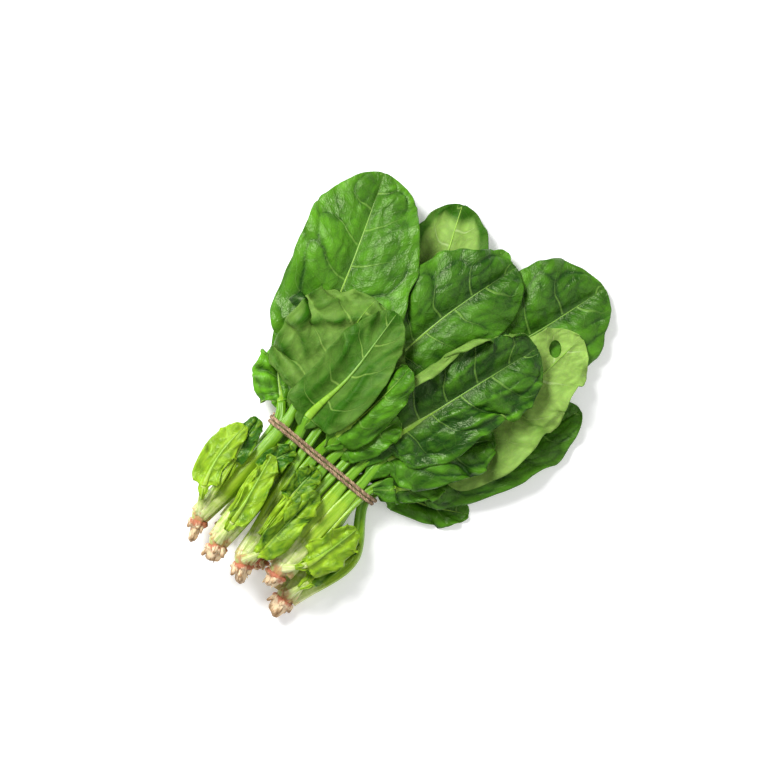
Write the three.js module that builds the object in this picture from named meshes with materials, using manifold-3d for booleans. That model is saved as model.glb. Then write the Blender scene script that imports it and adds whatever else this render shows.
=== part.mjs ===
// A bunch of spinach as it is sold: seven whole young plants, each with its root stub, fleshy
// stalks and leaves, held together by two turns of jute twine and laid down on a table.
// Millimetres, +Z up. +X runs from the roots to the leaf tips, and the table is at Z = 0.
// While the bunch is laid out, X = 0 is the plane of the twine. The last step moves the whole
// bunch so that the origin is at the middle of its box on the table.
import * as THREE from "three";
import { mergeVertices } from "three/addons/utils/BufferGeometryUtils.js";
import Module from "manifold-3d";

const wasm = await Module();
wasm.setup();

// Driving dimensions
const SHEET = 0.8; // thickness of a blade between its ribs
const REST_GAP = 0.45; // air between a leaf and what it lies on
const JOIN_GAP = 0.5; // parting between a stalk and its blade, and between a crown and its root
const STALK_WIDE = { crown: 5.6, tie: 3.5, blade: 2.9 }; // half-widths of a stalk
const STALK_HIGH = { crown: 3.3, tie: 2.6, blade: 1.6 }; // half-heights of a stalk
const SMALL_STALK = 0.62; // a small inner leaf's stalk, as a share of a long one's
const RIB_TIP_WIDE = 0.8; // half-width of the midrib at the leaf's tip
const TIP_WIDE = 2; // half-width of the blade's last row
const LAYER_Z = [0, 6.4, 12.7, 19, 25.3]; // height of each layer of stalks under the twine, from 1
const TWINE = { radius: 1.2, gap: 0.45, turns: 2, pitch: 2.75 };
const COLLAR = { radius: 7.2, back: 4, front: 6 }; // the crown, where a plant's stalks join
const ROOT = { length: 11, sides: 9 };

// The plants. at: middle of the crown. aim: where the root points. size: share of a full root.
const PLANTS = {
  a: { at: [-79, 36, 19], aim: [-1, -0.4, -0.2], size: 1 },
  b: { at: [-84, 16, 28], aim: [-1, -0.4, -0.1], size: 1.1 },
  c: { at: [-82, -4, 28], aim: [-1, -0.6, -0.15], size: 1.1 },
  d: { at: [-72, -26, 27], aim: [-1, -0.1, -0.2], size: 1.15 },
  e: { at: [-83, -41, 6.6], aim: [-1, -0.05, 0], size: 1.25 },
  f: { at: [-71, -12, 6.6], aim: [-1, 0, 0], size: 1 },
  g: { at: [-70, 18, 6.6], aim: [-1, 0.1, 0], size: 1 },
};

// The leaves, in the order in which they are laid, from the table up.
// slot: [y, layer] of the stalk under the twine. base, mid, tip: the midrib, before the leaf
// comes to rest. half: half-widths right and left of the midrib. face: the side turned up.
// fold and curl: degrees that each half [right, left] rises at the midrib, and gains to its edge.
// roll: degrees that a left edge folded over gains in its last third.
// widest: where the blade is widest, from stalk to tip. bow: a point that the stalk passes before
// the twine.
// wave: [height, number] of the waves in its edge. rows and cols: the mesh.
const LONG = { rows: 11, side: [0, 0.34, 0.68, 1] };
const UNDER = { rows: 6, side: [0, 0.5, 1] };
const SHORT = { rows: 8, side: [0, 0.5, 1] };
const SMALL = { rows: 6, side: [0, 0.5, 1] };
const ROLLED = { rows: 11, side: [0, 0.33, 0.64, 0.82, 1], rolled: 2 };
const LEAVES = [
  { name: "g_leaf_1", slot: [27, 1], base: [28, 34, 5], mid: [70, 56, 2], tip: [112, 70, 1],
    half: [22, 22], face: "top", fold: [3, 3], curl: [-6, -6], wave: [1.6, 2.5], mesh: UNDER },
  { name: "g_leaf_2", slot: [18, 1], base: [40, 24, 5], mid: [88, 36, 2], tip: [135, 44, 1],
    half: [22, 22], face: "top", fold: [3, 3], curl: [-6, -6], wave: [1.6, 2.5], mesh: UNDER },
  { name: "g_leaf_3", slot: [9, 1], base: [32, 9, 5], mid: [90, 11, 2], tip: [150, 12, 1],
    half: [22, 22], face: "top", fold: [3, 3], curl: [-6, -6], wave: [1.6, 2.5], mesh: UNDER },
  { name: "f_leaf_1", slot: [0, 1], base: [40, -6, 5], mid: [96, -18, 2], tip: [158, -30, 1],
    half: [22, 22], face: "top", fold: [3, 3], curl: [-6, -6], wave: [1.6, 2.5], mesh: UNDER },
  { name: "f_leaf_2", slot: [-9, 1], base: [32, -17, 5], mid: [88, -42, 2], tip: [145, -66, 1],
    half: [22, 22], face: "top", fold: [3, 3], curl: [-6, -6], wave: [1.6, 2.5], mesh: UNDER },
  { name: "e_leaf_1", slot: [-18, 1], base: [20, -27, 5], mid: [70, -58, 2], tip: [112, -84, 1],
    half: [22, 22], face: "top", fold: [3, 3], curl: [-6, -6], wave: [1.6, 2.5], mesh: UNDER },
  { name: "e_leaf_3", slot: [-36, 1], base: [12, -46, 5], mid: [20, -72, 3], tip: [34, -98, 1],
    half: [12, 15], face: "top", fold: [8, 8], curl: [-12, -12], wave: [3, 2.5], mesh: SHORT },
  { name: "e_leaf_2", slot: [-27, 1], base: [20, -40, 6], mid: [44, -68, 3], tip: [66, -92, 2],
    half: [17, 18], face: "top", fold: [5, 5], curl: [-8, -8], wave: [3, 2.5], mesh: SHORT },
  { name: "a_leaf_1", slot: [31.5, 2], base: [34, 47, 10], mid: [60, 62, 4], tip: [88, 74, 2],
    half: [22, 22], face: "top", fold: [4, 4], curl: [-8, -8], wave: [2, 2.5], mesh: UNDER },
  { name: "g_leaf_4", slot: [22.5, 2], base: [56, 38, 10], mid: [90, 50, 4], tip: [125, 64, 2],
    half: [22, 22], face: "top", fold: [4, 4], curl: [-8, -8], wave: [2, 2.5], mesh: UNDER },
  { name: "e_leaf_4", slot: [-40, 2], bow: [-38, -58, 8], base: [27, -58, 10], mid: [80, -90, 10],
    tip: [133, -110, 5], half: [24, 24], face: "top", fold: [10, 6], curl: [-16, -10],
    wave: [3, 2.2], mesh: LONG },
  { name: "f_leaf_3", slot: [-17, 2], base: [60, -36, 10], mid: [96, -52, 4], tip: [138, -72, 2],
    half: [22, 22], face: "top", fold: [4, 4], curl: [-8, -8], wave: [2, 2.5], mesh: UNDER },
  { name: "f_leaf_4", slot: [-8, 2], base: [100, -34, 12], mid: [152, -55, 14], tip: [204, -71, 8],
    half: [38, 44], face: "top", fold: [6, 6], curl: [-20, -16], wave: [3.5, 2.2], mesh: LONG },
  { name: "f_leaf_5", slot: [1, 2], base: [120, -15, 12], mid: [151, -11, 12], tip: [181, -6, 9],
    half: [13, 13], face: "top", fold: [6, 6], curl: [-8, -8], wave: [2, 2], mesh: UNDER },
  { name: "g_leaf_5", slot: [11, 2], base: [108, 4, 12], mid: [148, 19, 11], tip: [186, 35, 9],
    half: [29, 28], face: "back", fold: [6, 6], curl: [14, 12], wave: [2.5, 2.2], mesh: LONG },
  { name: "a_leaf_2", slot: [36, 3], base: [12, 43, 17], mid: [22, 54, 14], tip: [36, 66, 8],
    half: [13, 14], face: "top", fold: [8, 8], curl: [-16, -16], wave: [3, 3], mesh: SHORT },
  { name: "c_leaf_1", slot: [0, 3], base: [60, -8, 14], mid: [94, -16, 10], tip: [130, -24, 6],
    half: [22, 22], face: "top", fold: [4, 4], curl: [-8, -8], wave: [2, 2.5], mesh: UNDER },
  { name: "d_leaf_1", slot: [-18, 3], base: [46, -38, 14], mid: [74, -58, 8], tip: [104, -78, 4],
    half: [22, 22], face: "top", fold: [4, 4], curl: [-8, -8], wave: [2, 2.5], mesh: UNDER },
  { name: "b_leaf_1", slot: [9, 3], base: [68, 5, 22], mid: [122, -3, 28], tip: [177, -18, 18],
    half: [34, 35], face: "top", fold: [9, 7], curl: [-20, -16], wave: [3, 2.5], mesh: LONG,
    widest: 0.36 },
  { name: "a_leaf_3", slot: [27, 3], base: [50, 46, 20], mid: [112, 66, 26], tip: [169, 87, 14],
    half: [44, 40], face: "top", fold: [8, 6], curl: [-20, -20], wave: [3.5, 2.2], mesh: LONG,
    widest: 0.22 },
  { name: "e_leaf_5", slot: [-36, 3], base: [15, -50, 14], mid: [26, -62, 10], tip: [40, -74, 6],
    half: [9, 10], face: "top", fold: [8, 8], curl: [-12, -12], wave: [2, 2.5], mesh: SHORT },
  { name: "d_leaf_2", slot: [-27, 3], base: [46, -57, 20], mid: [108, -72, 25], tip: [169, -80, 17],
    half: [32, 33], face: "back", fold: [-4, 6], curl: [14, 16], wave: [4.5, 3.2], mesh: LONG },
  { name: "a_leaf_4", slot: [31.5, 4], base: [24, 35, 29], mid: [64, 37, 37], tip: [102, 38, 33],
    half: [47, 38], face: "back", fold: [-5, -8], curl: [-12, -18], wave: [6, 3], mesh: LONG,
    widest: 0.4 },
  { name: "d_leaf_3", slot: [-31.5, 4], base: [27, -34, 28], mid: [54, -57, 32], tip: [83, -79, 24],
    half: [23, 24], face: "top", fold: [8, 4], curl: [-24, -12], wave: [3, 2.4], mesh: LONG },
  { name: "d_leaf_4", slot: [-22.5, 4], base: [34, -27, 30], mid: [90, -44, 40], tip: [151, -64, 32],
    half: [32, 45], face: "top", fold: [-6, 8], curl: [-22, 12], roll: 150, wave: [4, 2.6],
    mesh: ROLLED },
  { name: "c_leaf_2", slot: [-6, 4], base: [14, -8, 28], mid: [30, -16, 30], tip: [52, -24, 26],
    half: [12, 13], face: "top", fold: [8, 8], curl: [-16, -16], wave: [3, 2.5], mesh: SHORT },
  { name: "c_leaf_3", slot: [3, 4], base: [18, 1, 29], mid: [48, -4, 36], tip: [82, -7, 34],
    half: [18, 12], face: "top", fold: [-10, 10], curl: [-24, 50], wave: [2.5, 2.2], mesh: LONG },
  { name: "b_leaf_2", slot: [20, 4], base: [15, 23, 30], mid: [52, 19, 42], tip: [104, 22, 39],
    half: [22, 22], face: "back", fold: [4, 6], curl: [-14, -12], wave: [2.5, 2.4], mesh: LONG },
  { name: "a_leaf_6", base: [-38, 42, 30], mid: [-22, 45, 32], tip: [-6, 47, 28],
    half: [8, 8], face: "top", fold: [4, 4], curl: [-20, -20], wave: [2, 2], mesh: SMALL },
  { name: "a_leaf_5", base: [-62, 46, 26], mid: [-41, 51, 25], tip: [-15, 51, 21],
    half: [13, 10], face: "back", fold: [6, 6], curl: [-20, -26], wave: [3, 3.2], mesh: SMALL },
  { name: "b_leaf_4", base: [-30, 24, 33], mid: [-18, 21, 34], tip: [-6, 16, 33],
    half: [8, 8], face: "top", fold: [6, 6], curl: [-20, -20], wave: [2.5, 2.5], mesh: SMALL },
  { name: "b_leaf_3", base: [-68, 17, 33], mid: [-45, 20, 34], tip: [-18, 25, 34],
    half: [8, 9], face: "back", fold: [26, 22], curl: [20, 16], wave: [2.5, 3], mesh: SMALL },
  { name: "c_leaf_4", base: [-34, -2, 33], mid: [-20, -2, 34], tip: [-6, -3, 32],
    half: [9, 9], face: "top", fold: [6, 10], curl: [-20, -14], wave: [2.5, 2.5], mesh: SMALL },
  { name: "c_leaf_5", base: [-72, -9, 33], mid: [-48, -11, 35], tip: [-18, -13, 34],
    half: [12, 11], face: "top", fold: [10, 12], curl: [-20, -14], wave: [2.5, 2.8], mesh: SMALL },
  { name: "e_leaf_6", base: [-66, -46, 14], mid: [-48, -51, 16], tip: [-26, -54, 14],
    half: [6, 8], face: "top", fold: [8, 8], curl: [-16, -16], wave: [2, 2.5], mesh: SMALL },
  { name: "d_leaf_5", base: [-58, -38, 30], mid: [-42, -43, 30], tip: [-20, -48, 26],
    half: [15, 12], face: "back", fold: [8, 8], curl: [-20, -20], wave: [3, 3], mesh: SMALL },
];

// Colours
const BLADE_TOP = { color: 0x2f7a1f, roughness: 0.42, metalness: 0 };
const BLADE_BACK = { color: 0x6f9f3c, roughness: 0.55, metalness: 0 };
const STALK_GREEN = { color: 0xa9c96b, roughness: 0.4, metalness: 0 };
const ROOT_PINK = { color: 0xd7a58c, roughness: 0.7, metalness: 0 };
const JUTE = { color: 0xa9825c, roughness: 0.95, metalness: 0 };

const lerp = THREE.MathUtils.lerp;
const radians = THREE.MathUtils.degToRad;
const TURN = 2 * Math.PI;
const UP = new THREE.Vector3(0, 0, 1);

// The route of a leaf, from its crown along the stalk and midrib to the tip
const STEPS_PER_SPAN = 40;

function routeOf(points) {
  const spans = points.length - 1;
  const curve = new THREE.CatmullRomCurve3(points, false, "centripetal");
  const dense = curve.getPoints(STEPS_PER_SPAN * spans);
  const reach = [0];
  for (let k = 1; k < dense.length; k++) {
    reach.push(reach[k - 1] + dense[k].distanceTo(dense[k - 1]));
  }
  return { dense, reach, lengthTo: (span) => reach[STEPS_PER_SPAN * span] };
}

function along(route, distance) {
  const { dense, reach } = route;
  let k = 0;
  while (k < dense.length - 2 && reach[k + 1] < distance) k++;
  const share = (distance - reach[k]) / (reach[k + 1] - reach[k]);
  const point = dense[k].clone().lerp(dense[k + 1], share);
  const before = dense[Math.max(0, k - 1)];
  const after = dense[Math.min(dense.length - 1, k + 2)];
  return { point, tangent: after.clone().sub(before).normalize() };
}

// The blade's outline: half-width as a share of the greatest, at q from stalk to tip
const WIDEST = 0.28; // where a blade is widest, unless its own `widest` says otherwise

function outline(leaf, side, q) {
  const widest = leaf.widest ?? WIDEST;
  const lobing = 1 + 0.04 * Math.sin(TURN * (1.9 * q + leaf.phase + 0.31 * side));
  if (q < widest) return lobing * (1 - (1 - q / widest) ** 2) ** 0.8;
  return lobing * (1 - ((q - widest) / (1 - widest)) ** 2.1) ** 0.7;
}

// How far forward the edge end of a row of the mesh lies, as a share of the blade's length. The
// rows run with the side veins: back into the lobes beside the stalk, forward further on.
const LOBE = { back: 0.1, end: 0.3 };
const FORWARD = 0.5;

function sweep(q) {
  const lobe = q < LOBE.end ? 4 * (q / LOBE.end) * (1 - q / LOBE.end) : 0;
  return FORWARD * q * (1 - q) - LOBE.back * lobe;
}

// The height of the waves in a blade's edge at q
function wave(leaf, q, side) {
  const [height, number] = leaf.wave;
  const phase = leaf.phase + (side > 0 ? 0.37 : 0);
  const long = Math.sin(TURN * (number * q + phase));
  const short = 0.45 * Math.sin(TURN * (2.3 * number * q + 2.1 * phase));
  return height * (long + short) * Math.min(1, 6 * q);
}

// A point across half a blade: [out from the midrib, up], at a share of its half-width
const ARC_STEPS = 16;
const ROLL_FROM = 0.64; // share of the half-width where a rolled edge starts

function across(leaf, side, q, half, share) {
  const k = side > 0 ? 1 : 0;
  const fold = radians(leaf.fold[k]);
  const curl = radians(leaf.curl[k]);
  const roll = leaf.roll && side > 0 ? radians(leaf.roll) * Math.min(1, 8 * q * (1 - q)) : 0;
  const step = share / ARC_STEPS;
  let out = 0;
  let up = 0;
  for (let n = 0; n < ARC_STEPS; n++) {
    const t = (n + 0.5) * step;
    const rolled = Math.max(0, (t - ROLL_FROM) / (1 - ROLL_FROM)) ** 0.7;
    const angle = fold + curl * t ** 2 + roll * rolled;
    out += Math.cos(angle) * step * half;
    up += Math.sin(angle) * step * half;
  }
  return [out, up + wave(leaf, q, side) * share ** 2];
}

// One row of a leaf's surface: its middle sheet, with how far the leaf reaches below and above it
function bladeRow(leaf, q) {
  const length = leaf.tipAt - leaf.baseAt;
  const ribWide = lerp(STALK_WIDE.blade * leaf.stalk, RIB_TIP_WIDE, q);
  const ribHigh = lerp(STALK_HIGH.blade * leaf.stalk, SHEET / 2, q ** 0.7);
  const ribSide = leaf.face === "top" ? -1 : 1;
  const row = [];
  const shares = leaf.mesh.side;
  for (let c = -shares.length; c <= shares.length; c++) {
    const side = Math.sign(c);
    const greatest = leaf.half[side > 0 ? 1 : 0];
    const root = lerp(ribWide + 0.6, TIP_WIDE, q);
    const half = root + (greatest - root) * outline(leaf, side, q);
    const out = c === 0 ? 0 : ribWide + (half - ribWide) * shares[Math.abs(c) - 1];
    const share = out / half;
    const spread = Math.max(0, (out - ribWide) / (half - ribWide));
    const station = q + sweep(q) * spread ** 1.4 * Math.min(1, 20 * q);
    const { point, tangent } = along(leaf.route, leaf.baseAt + station * length);
    const left = UP.clone().cross(tangent).normalize();
    const over = tangent.clone().cross(left);
    const [lateral, rise] = across(leaf, side, q, half, share);
    point.addScaledVector(left, side * lateral);
    point.addScaledVector(over, rise - ribSide * (ribHigh - SHEET / 2));
    const thick = c === 0 ? 2 * ribHigh - SHEET / 2 : SHEET / 2;
    row.push({
      point,
      below: ribSide < 0 ? thick : SHEET / 2,
      above: ribSide > 0 ? thick : SHEET / 2,
    });
  }
  return row;
}

// One row across a stalk, in the same form
function stalkRow(leaf, distance) {
  const { point, tangent } = along(leaf.route, distance);
  const left = UP.clone().cross(tangent).normalize();
  const { wide, high } = stalkSize(leaf, distance);
  const columns = leaf.mesh.side.length;
  const row = [];
  for (let c = -columns; c <= columns; c++) {
    const out = c === 0 ? 0 : 0.5 + 0.5 * ((Math.abs(c) - 1) / (columns - 1));
    const thick = high * Math.min(1, 2 * (1 - out));
    const place = point.clone().addScaledVector(left, Math.sign(c) * out * wide);
    row.push({ point: place, below: thick, above: thick });
  }
  return row;
}

function stalkSize(leaf, distance) {
  const before = Math.min(1, distance / leaf.tieAt);
  const after = Math.max(0, (distance - leaf.tieAt) / Math.max(1, leaf.baseAt - leaf.tieAt));
  const size = (half) => lerp(lerp(half.crown, half.tie, before), half.blade, after) * leaf.stalk;
  return { wide: size(STALK_WIDE), high: size(STALK_HIGH) };
}

// The pile: a map of the highest surface so far over each square millimetre of the table
class Pile {
  constructor() {
    this.low = { x: -130, y: -150 };
    this.size = { x: 380, y: 290 };
    this.heights = new Float64Array(this.size.x * this.size.y).fill(-REST_GAP);
  }
  square(x, y) {
    return (Math.floor(y) - this.low.y) * this.size.x + Math.floor(x) - this.low.x;
  }
  at(x, y) {
    return this.heights[this.square(x, y)];
  }
  add(x, y, z) {
    for (let dx = -1; dx <= 1; dx++) {
      for (let dy = -1; dy <= 1; dy++) {
        const k = this.square(x + 0.7 * dx, y + 0.7 * dy);
        if (this.heights[k] < z) this.heights[k] = z;
      }
    }
  }
}

// The middle sheet's normals, from its neighbours in the mesh. A row of the stalk has one normal.
// The stalk's end and the blade's start share the normal midway between theirs, so that the
// parting between them is even.
function normalsOf(rows, firstBladeRow) {
  const middle = (rows[0].length - 1) / 2;
  const ahead = (i, j) => rows[i + 1][j].point.clone().sub(rows[i][j].point).normalize();
  return rows.map((row, i) =>
    row.map((_, column) => {
      const j = i > firstBladeRow ? column : middle;
      let forward = null;
      if (i === firstBladeRow || i === firstBladeRow - 1) {
        forward = ahead(firstBladeRow, j).add(ahead(firstBladeRow - 2, j));
      } else {
        forward = ahead(Math.min(i, rows.length - 2), j).add(ahead(Math.max(0, i - 1), j));
      }
      const left = row[Math.min(row.length - 1, j + 1)].point;
      const right = row[Math.max(0, j - 1)].point;
      return forward.cross(left.clone().sub(right)).normalize();
    }),
  );
}

// The two skins of a leaf, as grids of points
function skinsOf(rows, firstBladeRow) {
  const normals = normalsOf(rows, firstBladeRow);
  const skin = (which, sign) =>
    rows.map((row, i) =>
      row.map((cell, j) => cell.point.clone().addScaledVector(normals[i][j], sign * cell[which])),
    );
  return { under: skin("below", -1), upper: skin("above", 1) };
}

// Every sample of a skin from row `from` on: its place, and the mesh points that carry it
const SAMPLE_STEP = 0.9;

function forEachSample(skin, from, visit) {
  for (let i = from; i < skin.length - 1; i++) {
    for (let j = 0; j < skin[i].length - 1; j++) {
      const corner = [skin[i][j], skin[i + 1][j], skin[i + 1][j + 1], skin[i][j + 1]];
      const long = Math.max(corner[0].distanceTo(corner[1]), corner[3].distanceTo(corner[2]));
      const wide = Math.max(corner[0].distanceTo(corner[3]), corner[1].distanceTo(corner[2]));
      const m = Math.max(1, Math.ceil(long / SAMPLE_STEP));
      const n = Math.max(1, Math.ceil(wide / SAMPLE_STEP));
      for (let a = 0; a <= m; a++) {
        for (let b = 0; b <= n; b++) {
          const u = a / m;
          const v = b / n;
          // The square is split from its first corner to the third, as in the solid.
          const weights = u > v ? [1 - u, u - v, v, 0] : [1 - v, 0, u, v - u];
          let x = 0;
          let y = 0;
          let z = 0;
          for (let k = 0; k < 4; k++) {
            x += weights[k] * corner[k].x;
            y += weights[k] * corner[k].y;
            z += weights[k] * corner[k].z;
          }
          visit(x, y, z, i, j, weights);
        }
      }
    }
  }
}

// Lays a leaf on the pile: lifts its mesh points until no sample is lower than the pile, and eases
// the lift between neighbours as a limp leaf would. Rows up to `held` stay. The stalk's rows each
// move as one.
const ROUNDS = [24, 4, 1, 1]; // sweeps between updates of the skins
const EASE = 0.4;
const SINK = 0.12; // how far a leaf falls in each sweep, where nothing holds it up
const PLACE = [[0, 0], [1, 0], [1, 1], [0, 1]];

function layOn(pile, leaf) {
  const { rows, held, firstBladeRow } = leaf;
  const wide = rows[0].length;
  const lastColumn = leaf.roll ? wide - 1 - leaf.mesh.rolled : wide - 1;
  const key = (i, j) => {
    if (i > firstBladeRow) return i * wide + Math.min(j, lastColumn);
    return Math.min(i, firstBladeRow - 1) * wide;
  };
  for (const sweeps of ROUNDS) {
    const lift = new Float64Array(rows.length * wide);
    const skins = Object.values(skinsOf(rows, firstBladeRow));
    for (let n = 0; n < sweeps; n++) {
      if (n > 0) ease(lift, rows, wide, held, key);
      for (const skin of skins) {
        forEachSample(skin, held, (...sample) => push(pile, lift, held, key, sample));
      }
    }
    rows.forEach((row, i) => {
      row.forEach((cell, j) => {
        cell.point.z += lift[key(i, j)];
      });
    });
  }
}

// Lifts the mesh points that carry a sample by what the sample lacks
function push(pile, lift, held, key, [x, y, z, i, j, weights]) {
  const share = new Map();
  let now = z;
  for (let k = 0; k < 4; k++) {
    const row = i + PLACE[k][0];
    if (row <= held || weights[k] === 0) continue;
    const at = key(row, j + PLACE[k][1]);
    share.set(at, (share.get(at) ?? 0) + weights[k]);
    now += weights[k] * lift[at];
  }
  const short = pile.at(x, y) + REST_GAP - now;
  if (short <= 0) return;
  let strength = 0;
  for (const weight of share.values()) strength += weight ** 2;
  if (strength < 0.06) return;
  for (const [at, weight] of share) lift[at] += (short * weight) / strength;
}

function ease(lift, rows, wide, held, key) {
  const before = lift.slice();
  for (let i = held + 1; i < rows.length; i++) {
    for (let j = 0; j < wide && key(i, j) === i * wide + j; j++) {
      const near = [before[key(i - 1, j)]];
      if (i + 1 < rows.length) near.push(before[key(i + 1, j)]);
      if (j > 0) near.push(before[key(i, j - 1)]);
      if (j + 1 < wide) near.push(before[key(i, j + 1)]);
      const mean = near.reduce((sum, v) => sum + v, 0) / near.length;
      lift[key(i, j)] = lerp(before[key(i, j)], mean, EASE) - SINK;
    }
  }
}

function addToPile(pile, leaf) {
  for (const skin of Object.values(skinsOf(leaf.rows, leaf.firstBladeRow))) {
    forEachSample(skin, 0, (x, y, z) => pile.add(x, y, z));
  }
}

// Closed meshes
function geometryOf(points, faces) {
  const geometry = new THREE.BufferGeometry();
  const numbers = points.flatMap((p) => [p.x, p.y, p.z]);
  geometry.setAttribute("position", new THREE.Float32BufferAttribute(numbers, 3));
  geometry.setIndex(faces);
  return geometry;
}

// A thin solid between two skins, which are split into triangles alike
function bladeGeometry(leaf) {
  const skins = skinsOf(leaf.rows, leaf.firstBladeRow);
  const under = skins.under.slice(leaf.firstBladeRow);
  const upper = skins.upper.slice(leaf.firstBladeRow);
  const high = upper.length;
  const wide = upper[0].length;
  const count = high * wide;
  const faces = [];
  const at = (i, j) => i * wide + j;
  for (let i = 0; i < high - 1; i++) {
    for (let j = 0; j < wide - 1; j++) {
      const [a, b, c, d] = [at(i, j), at(i + 1, j), at(i + 1, j + 1), at(i, j + 1)];
      faces.push(a, b, c, a, c, d);
      faces.push(count + a, count + c, count + b, count + a, count + d, count + c);
    }
  }
  const rim = [];
  for (let i = 0; i < high - 1; i++) rim.push(at(i, 0));
  for (let j = 0; j < wide - 1; j++) rim.push(at(high - 1, j));
  for (let i = high - 1; i > 0; i--) rim.push(at(i, wide - 1));
  for (let j = wide - 1; j > 0; j--) rim.push(at(0, j));
  rim.forEach((a, k) => {
    const b = rim[(k + 1) % rim.length];
    faces.push(a, count + a, count + b, a, count + b, b);
  });
  return geometryOf([...upper.flat(), ...under.flat()], faces);
}

// A closed tube through loops of points, each loop counter-clockwise seen from its far end
function tubeGeometry(loops) {
  const sides = loops[0].length;
  const faces = [];
  for (let i = 0; i < loops.length - 1; i++) {
    for (let j = 0; j < sides; j++) {
      const [a, b] = [i * sides + j, i * sides + ((j + 1) % sides)];
      faces.push(a, b, b + sides, a, b + sides, a + sides);
    }
  }
  for (let j = 1; j < sides - 1; j++) {
    const last = (loops.length - 1) * sides;
    faces.push(0, j + 1, j, last, last + j, last + j + 1);
  }
  return geometryOf(loops.flat(), faces);
}

function solidOf(geometry) {
  const bare = geometry.clone();
  bare.deleteAttribute("normal");
  bare.deleteAttribute("uv");
  const merged = mergeVertices(bare, 1e-4);
  const mesh = new wasm.Mesh({
    numProp: 3,
    vertProperties: new Float32Array(merged.attributes.position.array),
    triVerts: new Uint32Array(merged.index.array),
  });
  return new wasm.Manifold(mesh);
}

function geometryFrom(solid) {
  const mesh = solid.getMesh();
  const geometry = new THREE.BufferGeometry();
  geometry.setAttribute("position", new THREE.Float32BufferAttribute(mesh.vertProperties, 3));
  geometry.setIndex([...mesh.triVerts]);
  return geometry;
}

function unionOf(solids) {
  return solids.reduce((sum, solid) => sum.add(solid));
}

// A stalk: a six-sided tube, flat above and below, through its rows
const STALK_SIDES = 6;

function stalkSolid(leaf) {
  const middle = leaf.mesh.side.length;
  const normals = normalsOf(leaf.rows, leaf.firstBladeRow);
  const loops = leaf.rows.slice(0, leaf.firstBladeRow).map((row, i) => {
    const left = row[row.length - 1].point.clone().sub(row[0].point).normalize();
    const { wide, high } = stalkSize(leaf, leaf.stalkAt[i]);
    const flat = high / Math.sin(TURN / STALK_SIDES);
    return Array.from({ length: STALK_SIDES }, (_, k) => {
      const angle = (TURN * k) / STALK_SIDES;
      const corner = row[middle].point.clone().addScaledVector(left, wide * Math.cos(angle));
      return corner.addScaledVector(normals[i][middle], flat * Math.sin(angle));
    });
  });
  return solidOf(tubeGeometry(loops));
}

// Leaves are completed with what follows from the table: their plant, route and rows
const vector = (xyz) => new THREE.Vector3(...xyz);

function seedOf(name) {
  return [...name].reduce((sum, letter) => (sum * 31 + letter.charCodeAt(0)) % 997, 7);
}

// Where a stalk starts in its crown: spread as the plant's stalks are spread under the twine
const CROWN_SPREAD = 0.34;

function startOf(plant, leaf) {
  const slots = LEAVES.filter((other) => other.plant === leaf.plant && other.slot);
  const meanY = slots.reduce((sum, other) => sum + other.slot[0], 0) / slots.length;
  const meanZ = slots.reduce((sum, other) => sum + LAYER_Z[other.slot[1]], 0) / slots.length;
  const start = vector(plant.at);
  if (!leaf.slot) return start.add(new THREE.Vector3(0, 0, 3));
  start.y += CROWN_SPREAD * (leaf.slot[0] - meanY);
  start.z += CROWN_SPREAD * (LAYER_Z[leaf.slot[1]] - meanZ);
  return start;
}

function complete(leaf) {
  leaf.plant = leaf.name[0];
  leaf.phase = (seedOf(leaf.name) % 100) / 100;
  leaf.stalk = leaf.slot ? 1 : SMALL_STALK;
}

const STALK_ROWS_TO_TIE = 4;
const STALK_ROW_STEP = 11;
const TIE_HELD = 5; // how far past the twine's middle a stalk is held by it
const SMALL_HELD = 14; // how far a small leaf's stalk stays in its crown

function buildRows(leaf) {
  const start = startOf(PLANTS[leaf.plant], leaf);
  const points = [start];
  if (leaf.bow) points.push(vector(leaf.bow));
  const tiePoint = points.length;
  if (leaf.slot) points.push(new THREE.Vector3(0, leaf.slot[0], LAYER_Z[leaf.slot[1]]));
  points.push(vector(leaf.base), vector(leaf.mid), vector(leaf.tip));
  leaf.route = routeOf(points);
  leaf.baseAt = leaf.route.lengthTo(points.length - 3);
  leaf.tipAt = leaf.route.lengthTo(points.length - 1);
  leaf.tieAt = leaf.slot ? leaf.route.lengthTo(tiePoint) : Math.min(SMALL_HELD, leaf.baseAt * 0.5);
  leaf.stalkAt = [];
  const before = leaf.slot ? STALK_ROWS_TO_TIE : 1;
  for (let n = 0; n < before; n++) leaf.stalkAt.push((leaf.tieAt * n) / before);
  const tieEnd = leaf.slot ? leaf.tieAt + TIE_HELD : leaf.tieAt;
  if (leaf.slot) leaf.stalkAt.push(leaf.tieAt);
  leaf.held = leaf.stalkAt.length;
  const after = Math.max(1, Math.round((leaf.baseAt - tieEnd) / STALK_ROW_STEP));
  const stalkEnd = leaf.baseAt - JOIN_GAP;
  for (let n = 0; n <= after; n++) leaf.stalkAt.push(lerp(tieEnd, stalkEnd, n / after));
  leaf.firstBladeRow = leaf.stalkAt.length;
  leaf.rows = leaf.stalkAt.map((distance) => stalkRow(leaf, distance));
  for (let n = 0; n < leaf.mesh.rows; n++) {
    const u = n / (leaf.mesh.rows - 1);
    leaf.rows.push(bladeRow(leaf, lerp(0.5 - 0.5 * Math.cos(Math.PI * u), u, 0.3)));
  }
}

LEAVES.forEach(complete);
const pile = new Pile();
for (const leaf of LEAVES) {
  buildRows(leaf);
  layOn(pile, leaf);
  addToPile(pile, leaf);
}

// Roots: a knobbly stub with the stumps of trimmed stalks round its collar
const ROOT_PROFILE = [[0, 0], [6.5, 0], [6.9, 0.3], [5.9, 0.65], [5.2, 0.95], [0, 1]];
const STUMPS = 3;

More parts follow.
